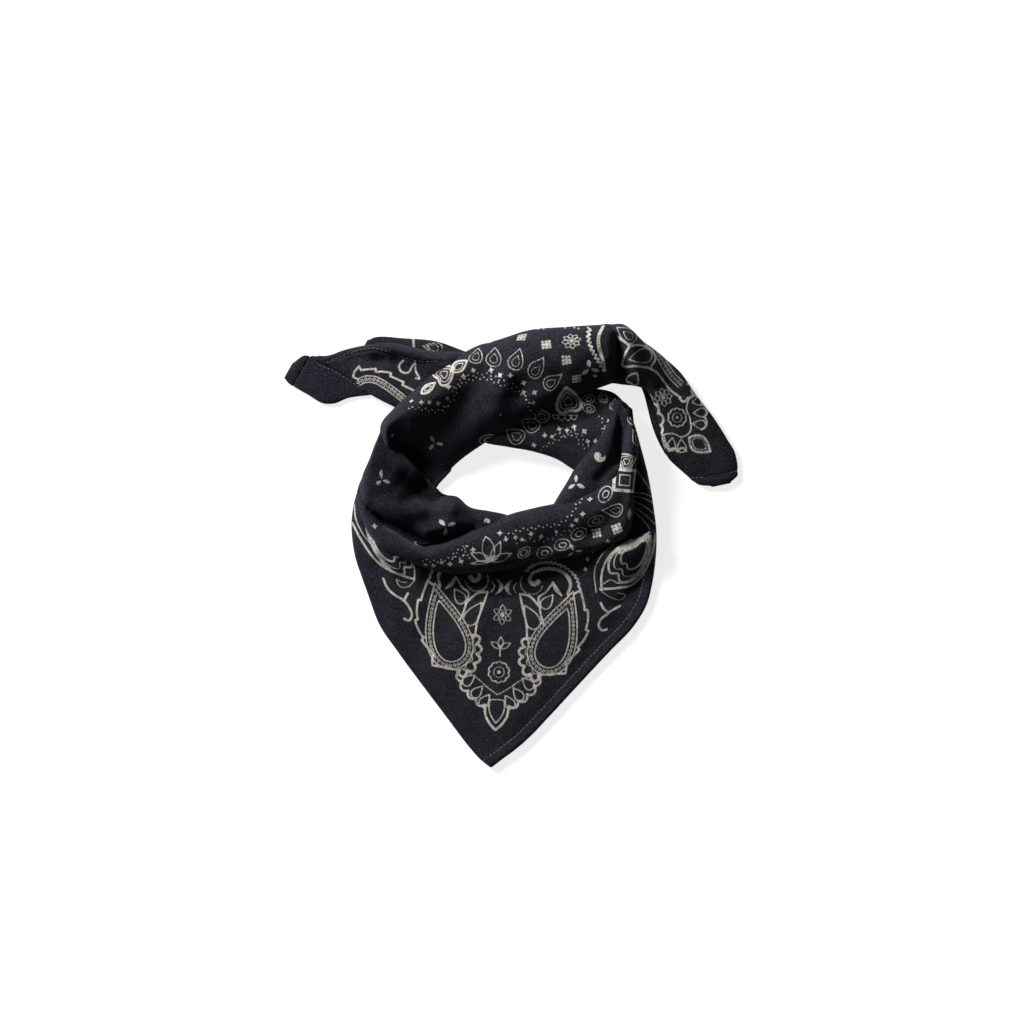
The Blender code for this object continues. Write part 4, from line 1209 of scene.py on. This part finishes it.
def put_print(cloth, wrapped=(), laid=(), dots=()):
    """Prints tables of motifs, whose rows are a motif, x, y and its turn in degrees: those
    that walk over the cloth, those laid straight down where it is steep, and chains of dots,
    each as its line and its pitch."""
    for motif, x, y, turn in wrapped:
        cloth.wrap(motif, x, y, turn)
    for motif, x, y, turn in laid:
        cloth.lay(turned(motif, turn, x, y))
    for line, pitch in dots:
        cloth.lay(loose_dots(line, pitch))


def right_tail_print():
    """The corner's pattern again on the right tied end, as it is folded there, in plan."""
    made = turned(drop(17, 11, 0), 145, 85.5, 158)
    made += [curve([(73.5, 157.5), (81, 154.5), (88, 149)], [1.5, 0.7])]
    made += [curve([(88, 149), (97, 149.5), (105, 146), (107.5, 139.5), (104.5, 134)], 0.75),
        curve([(88, 149), (84, 141), (83, 134.5), (93, 134), (102, 133)], 0.85)]
    made += turned(outline(drop_line(18, 10.5), 0.42), 195, 96, 141)
    rail = [(99, 152), (107, 143.5), (112.5, 133.5), (118.5, 125), (125, 118.5)]
    made += beaded_rail(rail, 5.4, LINE)
    made += [curve([(102, 133), (108.5, 129.5), (113.5, 123.5), (119, 116.5), (126.5, 111)], 0.8)]
    made += wavy([(126, 110.5), (131.5, 111), (134, 116), (131.5, 121)], 6, 2.6, BOLD, "scallop", -1)
    made += turned(spade(10, 1, 0.7), 60, 91, 124.5)
    made += turned(daisy(14, 8), 10, 113.5, 111) + turned(rosette(14.5), 0, 124, 96)
    made += wavy([(99.5, 114), (105.5, 105.5), (110.5, 97), (111.5, 89.5), (108.5, 82)], 8.2, 2.6, BOLD,
        "scallop")
    made += ring_row([(102, 108), (104, 99), (106.5, 90)])
    for x, y, turn in ((135.5, 107.5, 8), (136.5, 99.5, 2), (136, 91.5, -8), (114, 81.5, -105),
                       (120.5, 80.5, -98), (127, 79.5, -85)):
        made += turned(hanging_drop(10, 6.6, 0.45), turn, x, y)
    made += wavy([(134.5, 112), (142, 106), (144, 97), (142, 87)], 8.4, 3, 0.8, "scallop")
    made += wavy([(131, 71), (122, 70), (114, 73.5), (109.5, 80.5)], 7.4, 2.8, 0.8, "scallop", -1)
    made += turned(petal(19, 12.5, 0.85, 0.66), -33, 133, 81)
    made += [curve([(111, 82.5), (120.5, 84), (128, 81.5), (133.5, 85), (134, 94), (131, 103),
        (133.5, 111.5)], 0.5)]
    return made


def left_tail_print():
    """The end of a paisley with its leaf edge and rings, and a curl, on the left tied end."""
    made = wavy([(-112.5, 131.5), (-104, 130.5), (-93, 128), (-84, 122), (-73, 113.5)], 12.5, 2.4, 0.75,
        "steps")
    made += [stroke([(-118.5, 126.5), (-117.5, 130), (-114, 134.5), (-112.5, 131.5)], 0.8),
        stroke([(-118.5, 126.5), (-114.5, 124.5)], 0.7)]
    rail = [(-115.5, 124.5), (-109.5, 127), (-101.5, 126.5), (-93.5, 122.5), (-85.5, 116.8), (-76, 109)]
    made += beaded_rail(rail, -4.8, 0.45)
    made += [curve([(-81, 138.5), (-84, 135), (-82.5, 130.5), (-77.5, 129.5), (-74, 134.5), (-72, 137)],
        0.75, 0.9), curve([(-72, 137), (-71.5, 130.5), (-69, 125), (-71.5, 125.5)], 0.7, 0.9)]
    return made


PLAIN_SLOTS = {"left_tip": "border_cloth", "left_tail_hem": "hem_cloth", "right_tail_hem": "hem_cloth"}


def rolled_cloth():
    """Every rolled stretch with its print, as a shell in place of its hidden solid; returns the rows of
    stitches on the tied ends.
    """
    rim = ((0.05, 0.006, 0.012, 0.5), (0.1, 0.008, 0.012, 0.7), (0.16, 0.01, 0.016, 0.4))
    back = band("back_band_cloth", BACK_BAND, SPACING, BACK_CREASES, 11, rim,
                fall=((0, 0.1), (0.35, 0.1), (0.55, 0.8), (1, 0.9)), valleys=(BAND_HOLLOW,))
    put_print(back, BACK_PRINT, BACK_LAID, BACK_DOTS)
    back.lay([stroke([spot, np.add(spot, 0.1)], 0.8) for spot in BACK_SPECKS])
    edging = [(57, 163), (56, 154), (58.5, 146), (63.5, 137), (68, 130.5)]
    back.lay(wavy(edging, 3.6, 2.6, 0.72, "zigzag"))
    back.lay([curve([(68.5, 164), (65, 156), (65.5, 146), (68.5, 137), (69.5, 130.5)], [1, 1.45, 0.8])])
    lobe = band("left_lobe_cloth", LEFT_LOBE, SPACING, LOBE_CREASES, 12, ((0.9, 0.01, 0.015, 0.4),),
                fall=((0, 0.5), (0.5, 0.5), (1, 0.3)), valleys=(LOBE_HOLLOW, ROLL_VALLEY),
                ridges=(POCKET_RIDGE,))
    put_print(lobe, LOBE_PRINT)
    roll = band("front_roll_cloth", FRONT_ROLL, SPACING, ROLL_CREASES, 13,
                ((0.8, 0.02, 0.02, 0.5), (0.12, 0.01, 0.02, 0.4)), valleys=(ROLL_VALLEY,))
    put_print(roll, ROLL_PRINT, ROLL_LAID, ROLL_DOTS)
    strip = band("inner_strip_cloth", INNER_STRIP, STRIP_SPACING, STRIP_CREASES, 14)
    put_print(strip, STRIP_PRINT)
    under = band("under_band_cloth", UNDER_BAND, LOW_SPACING, UNDER_CREASES, 15)
    put_print(under, UNDER_PRINT, KNOT_LAID, UNDER_DOTS)
    loops = wavy([(31, 98), (40, 96.5), (49, 97.5)], 4.5, 3, 0.42, "scallop", -1)
    loops += [stroke([(30.5, 98), (49.5, 97.5)], FINE)]
    for cloth in (back, under):
        cloth.lay(loops)
    right = band("right_tail_cloth", RIGHT_TAIL, SPACING, RIGHT_CREASES, 16)
    right.lay(right_tail_print())
    left = band("left_tail_cloth", LEFT_TAIL, SPACING, LEFT_CREASES, 17,
                valleys=(TAIL_HOLLOW, TAIL_HEM_LINE), ridges=(TAIL_HEM_RIDGE,))
    left.lay(left_tail_print())
    side = band("right_side_cloth", RIGHT_SIDE, LOW_SPACING, (), 18)
    for start, bend, end in ((28, 21, 5), (31, 25.5, 15), (34, 31, 22), (37, 36, 30.5),
                             (40, 39.5, 35), (63, 52, 34)):
        side.lay([curve([(88.5, start), (97, bend), (109, end)], 0.45)])
    tip = band("left_tip_cloth", LEFT_TIP, PLAIN_SPACING, TIP_CREASES, 19, lively=0.5)
    tail_back = band("left_tail_back_cloth", TAIL_BACK, 1, (), 20, lively=0.4, ends=(1.2, 0))
    pair = outline(drop_line(15, 8), 0.32) + outline(drop_line(9, 4.5), 0.3)
    tail_back.lay([stroke([(-73.5, 154.5), (-73, 149)], 0.9)] + turned(pair, 170, -59, 148.5))
    tail_under = band("right_tail_under_cloth", TAIL_UNDER, PLAIN_SPACING, (), 21, lively=0.4, ends=(0, 1.2))
    left_hem = band("left_tail_hem_cloth", LEFT_HEM, LOW_SPACING, (), 22, lively=0.4, ends=(0, 1))
    right_hem = band("right_tail_hem_cloth", RIGHT_HEM, LOW_SPACING, (), 23, lively=0.4, ends=(0, 1))
    for cloth, held, below in (
            (back, "folded", ["under_band"]),
            (lobe, "folded", ["back_band"]),
            (roll, "folded", ["apron_front"]),
            (strip, "folded", ["under_band"]),
            (under, "folded", []),
            (right, "folded", ["right_tail_under"]),
            (left, "folded", ["left_tip"]),
            (side, "folded", []),
            (tip, "laid", []),
            (tail_back, "laid", []),
            (tail_under, "laid", []),
            (left_hem, "folded", []),
            (right_hem, "folded", [])):
        node = cloth.name.removesuffix("_cloth")
        finish = PLAIN if node in PLAIN_SLOTS else PRINTED
        thin = min(SHELL, THIN_SHARE * float(cloth.points[..., 2].max()))
        declare(shell(cloth, finish, thick=thin), [node])
    seam = [(-140, 136.5), (-119.5, 144.8), (-103, 147.6), (-89.5, 144.4), (-80, 140.7), (-69, 138),
            (-56, 137.8)]
    tip_seam = [(-143, 135), (-134, 131.5), (-122.5, 124.5), (-112, 117.5)]
    end_seam = [(136, 51), (150, 51.5), (168, 56)]
    return [stitches(left, seam), stitches(left, tip_seam, radius=0.18), stitches(right, end_seam)]


# ---------------------------------------------------------------- the apron and its print
TIP = np.array([-13.7, -166])
LEAN = np.radians(3.5)


def on_apron(strokes):
    """Strokes given from the apron's tip, u to the right and v up its middle line, in plan."""
    turn = np.array([[np.cos(LEAN), np.sin(LEAN)], [-np.sin(LEAN), np.cos(LEAN)]])
    return [np.column_stack([s[:, :2] @ turn.T + TIP, s[:, 2]]) for s in strokes]


def half_apron():
    """The right half of the corner's pattern: a large beaded paisley with a leaf edge and
    scallops, petals with drops in them, a curled tail and half of the fan below."""
    made = turned(beaded_drop(66, 34, 5.5), 66, 43.4, 103)
    made += wavy([(57.5, 136.5), (63, 124), (65.5, 112), (63.5, 100), (57.5, 89), (50.5, 79.5)], 15, -2.3,
        0.8, "steps")
    made += [stroke([(57.5, 136.5), (52.5, 133.5)], 0.8), stroke([(50.5, 80.5), (50, 73.5)], 0.8),
        curve([(50, 73.5), (40, 72.5), (30, 71)], 0.8)]
    shell_edge = [(31, 70), (25, 71.5), (20.5, 76), (18.3, 83), (18.5, 90.5), (21, 98)]
    made += wavy(shell_edge, 7.6, 4.2, 0.95, "scallop")
    made += wavy([(31.5, 73.5), (27, 75.5), (23.5, 80), (21.8, 86), (22.5, 92.5), (25, 98)], 7, 3, FINE,
        "scallop")
    made += [curve([(19.5, 97), (18.5, 108), (15.5, 118.5), (12, 131)], 0.75), curve([(12, 131),
        (19.5, 129.5), (27.5, 122)], 0.75)]
    made += turned(outline(drop_line(20, 10.5, 1), 0.5), 118, 21.5, 114.5)
    made += [curve([(27.5, 122), (29, 115.5), (31.5, 109)], 0.75), curve([(27.5, 122), (26.5, 129.5),
        (31, 133), (36.5, 141)], 0.75), stroke([(36.5, 141), (39, 136), (43.5, 131.5)], [0.8, 1.7, 0.6])]
    made += turned(outline(drop_line(12.5, 8, 1), 0.45), 48, 33.5, 126.5)
    made += [curve([(48, 133), (49.5, 141), (45, 148), (36, 151), (27, 150), (20, 146), (19, 141),
        (22.5, 138.8), (25.5, 141)], [1, 1.5, 1.1, 1.9], 0.9, (0, 0.3, 0.75, 1))]
    made += wavy([(58, 134.5), (54.5, 145.5), (46, 153), (33, 156.5), (21, 154), (15, 148.5)], 3.6, 1.6,
        0.72, "zigzag")
    swirl = circle(np.radians(np.linspace(150, 350, 15))) * 9 + (20.5, 139.5)
    made += wavy(swirl, 2.6, 1.2, FINE, "zigzag")
    made += [curve([(6, 141), (3, 138), (2, 135.2), (3, 132.4), (6, 129.5)], [0.3, 1.7, 0.3]),
        curve([(9.5, 139.5), (7.2, 135.2), (9.5, 131)], 0.4)]
    made += wavy([(29.5, 70.5), (25.5, 60.5), (17.5, 52.5), (9, 46.5)], 9.2, 3.4, 0.85, "scallop")
    for u, v, turn in ((18.6, 67.5, -42), (12.2, 59.5, -50), (6.5, 53.5, -56)):
        made += turned(hanging_drop(11, 7), turn, u, v)
    made += [curve([(26, 71.5), (16, 66), (8.5, 60), (0, 54.5)], 0.42, 0.9)]
    made += [curve([(9, 46.5), (8, 38.5), (4.5, 32.5), (0, 28)], 0.9, 0.9), curve([(5.4, 50.5), (5.6, 43),
        (3.4, 37.5), (0, 33.2)], 0.5, 0.9), stroke([(0, 51), (5.4, 50.5)], 0.45)]
    return made


def apron_print():
    """The whole pattern of the corner: both halves, what stands on the middle line, and the
    loose twigs and curls beside them."""
    half = half_apron()
    made = half + [s * (-1, 1, 1) for s in half]
    made += turned(rosette(16.5), 0, 0, 71.5)
    for turn in (30, 90, 150):
        made += turned(petal(8.5, 3.8, 0.45), turn, 0, 89.5)
    made += [stroke([(0, 83.5), (0, 89.5)], 0.5)]
    made += turned(daisy(15, 6), 30, 0, 114.5)
    return on_apron(made)


def wing_print():
    """The nested leaves on the two sides, with the thin lines and twigs beside them, in
    plan. The left leaf is drawn narrower, as the cloth there slopes away."""
    made = turned(heart_leaf(42, 25, 3), 49, 90.5, -8.5)
    made += [curve([(66.5, -32.5), (80, -31.5), (90, -29.5), (96.5, -24), (102.5, -14), (105.8, -4),
        (108, 9.5)], 0.85), curve([(69, -28.5), (74, -25.5), (80.5, -28), (86.5, -26.5), (93, -22.5),
        (99, -13)], 0.5), curve([(80.5, -5.5), (83.5, 0.5), (91.5, 3), (103, 10)], 0.8),
        curve([(80.5, -5.5), (91, -1), (100, 5.5)], 0.5)]
    made += [curve([(90, 4.5), (79, -2), (70.5, -12), (67.5, -22), (67.5, -33)], 0.8), curve([(77, 1),
        (67.5, -7), (62.5, -18), (63.5, -35)], 0.38), curve([(100, 7), (92, -1), (84, -3.5), (89, 5)], 0.7),
        curve([(68, -34.5), (75, -39), (83, -40), (85.5, -37), (80, -35.5)], 0.42)]
    made += turned(heart_leaf(46, 19, 3), 134, -92.5, -3)
    made += [curve([(-117.5, 31), (-116.5, 21), (-111, 9), (-104, 0)], 0.5), curve([(-114, 33), (-112, 24),
        (-106.5, 13.5)], 0.5)]
    made += [curve([(-119, 17), (-112, 4), (-98, -14), (-84, -21.5), (-72.5, -25)], 0.8),
        curve([(-76.5, -10), (-73, -15), (-72.5, -24.5)], 0.6), curve([(-72.5, -26), (-77, -30.5),
        (-83.5, -30.5), (-86, -25), (-82.5, -27), (-78, -27.5)], 0.42)]
    made += [curve([(67, -43), (69.5, -47.5), (72.5, -50), (67.5, -54.5), (65.5, -60), (68, -63.5),
        (71.5, -62.5)], 0.85, 0.9), stroke([(72.5, -50), (81.5, -45)], [0.85, 0.75])]
    made += [curve([(-96, -24.5), (-92.5, -32), (-87, -37), (-80.5, -41), (-76.5, -46), (-74.5, -52),
        (-76.5, -56), (-80.5, -54.5)], 0.85, 0.9), stroke([(-80.5, -41), (-77.5, -35.5)], [0.85, 0.9])]
    for x, y in ((60.5, -3.5), (57, -10), (55.5, -17.5)):
        made += turned(star(), 15, x, y)
    return made


def apron():
    """The folded corner: its front layer with the hem under its right edge, and its back
    layer, which shows along the edges."""
    plan, from_left, from_right = apron_grid(SPACING)
    height = apron_height(plan, from_left, from_right, 31)
    points = np.concatenate([plan, height[..., None]], axis=2)
    front = Cloth("apron_front_cloth", points, points.shape[1], False)
    front.lay(apron_print() + wing_print())
    keep = under_roll(plan)
    declare(shell(front, PRINTED, keep), ["apron_front", "left_wing", "right_wing"])
    plan_back = apron_grid(BACK_SPACING)[0]
    flat = np.concatenate([plan_back, np.full(plan_back.shape[:-1] + (1,), BACK_TOP)], axis=2)
    flat[..., 2] += 0.3 * np.clip(ripples(flat, BACK_WAVES, 32), -0.5, 0.2)
    back = Cloth("apron_back_cloth", flat, flat.shape[1], False)
    keep = under_roll(plan_back, BACK_INSET)
    declare(shell(back, PRINTED, keep), ["apron_back"])
    inner = int(round(HEM_WIDE / SPACING))
    return [stitches(front, plan[inner, inner:-8:6])]


# ---------------------------------------------------------------- studio, in metres
CAMERA_PLACE = (0.0005, 0.0253, 4)
LENS, SENSOR = 187.5, 36
LIGHTS = (                  # name, place, width across, power
    ("key", (-1.8, 1.72, 1.33), 0.9, 190),
    ("fill", (-1.5, -1.6, 1.25), 1.6, 7),
)
FLOOR_HALF, FLOOR_LOW = 3, -0.0006
FLOOR_GREY, FLOOR_GLOW = (0.3, 0.3, 0.3, 1), 0.8
SKY_GLOW = 0.07


def camera_and_light():
    """A camera straight above, a large soft light from the upper left, and a pale floor."""
    scene = bpy.context.scene
    eye = bpy.data.cameras.new("camera")
    eye.lens, eye.sensor_width = LENS, SENSOR
    scene.camera = bpy.data.objects.new("camera", eye)
    scene.camera.location = CAMERA_PLACE
    scene.collection.objects.link(scene.camera)
    for name, place, size, power in LIGHTS:
        light = bpy.data.lights.new(name, "AREA")
        light.shape, light.size, light.energy = "DISK", size, power
        lamp = bpy.data.objects.new(name, light)
        lamp.location = place
        lamp.rotation_euler = (-Vector(place)).to_track_quat("-Z", "Y").to_euler()
        scene.collection.objects.link(lamp)
    mesh = bpy.data.meshes.new("floor")
    corners = [(x * FLOOR_HALF, y * FLOOR_HALF, FLOOR_LOW) for x, y in ((-1, -1), (1, -1), (1, 1), (-1, 1))]
    mesh.from_pydata(corners, [], [(0, 1, 2, 3)])
    floor = bpy.data.objects.new("floor", mesh)
    scene.collection.objects.link(floor)
    paint, _, shader = new_finish("floor", 0.9)
    shader.inputs["Base Color"].default_value = FLOOR_GREY
    shader.inputs["Emission Color"].default_value = WHITE
    shader.inputs["Emission Strength"].default_value = FLOOR_GLOW
    mesh.materials.append(paint)
    scene.world = bpy.data.worlds.new("studio")
    scene.world.use_nodes = True
    sky = scene.world.node_tree.nodes["Background"]
    sky.inputs[0].default_value = WHITE
    sky.inputs[1].default_value = SKY_GLOW
    scene.view_settings.view_transform = "Standard"


sew("hem_stitches", rolled_cloth() + apron())
camera_and_light()
# The hem under the apron's edge shows as its own solid, in the plain cloth.
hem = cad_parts["apron_hem"].data.materials
hem.clear()
hem.append(PLAIN)
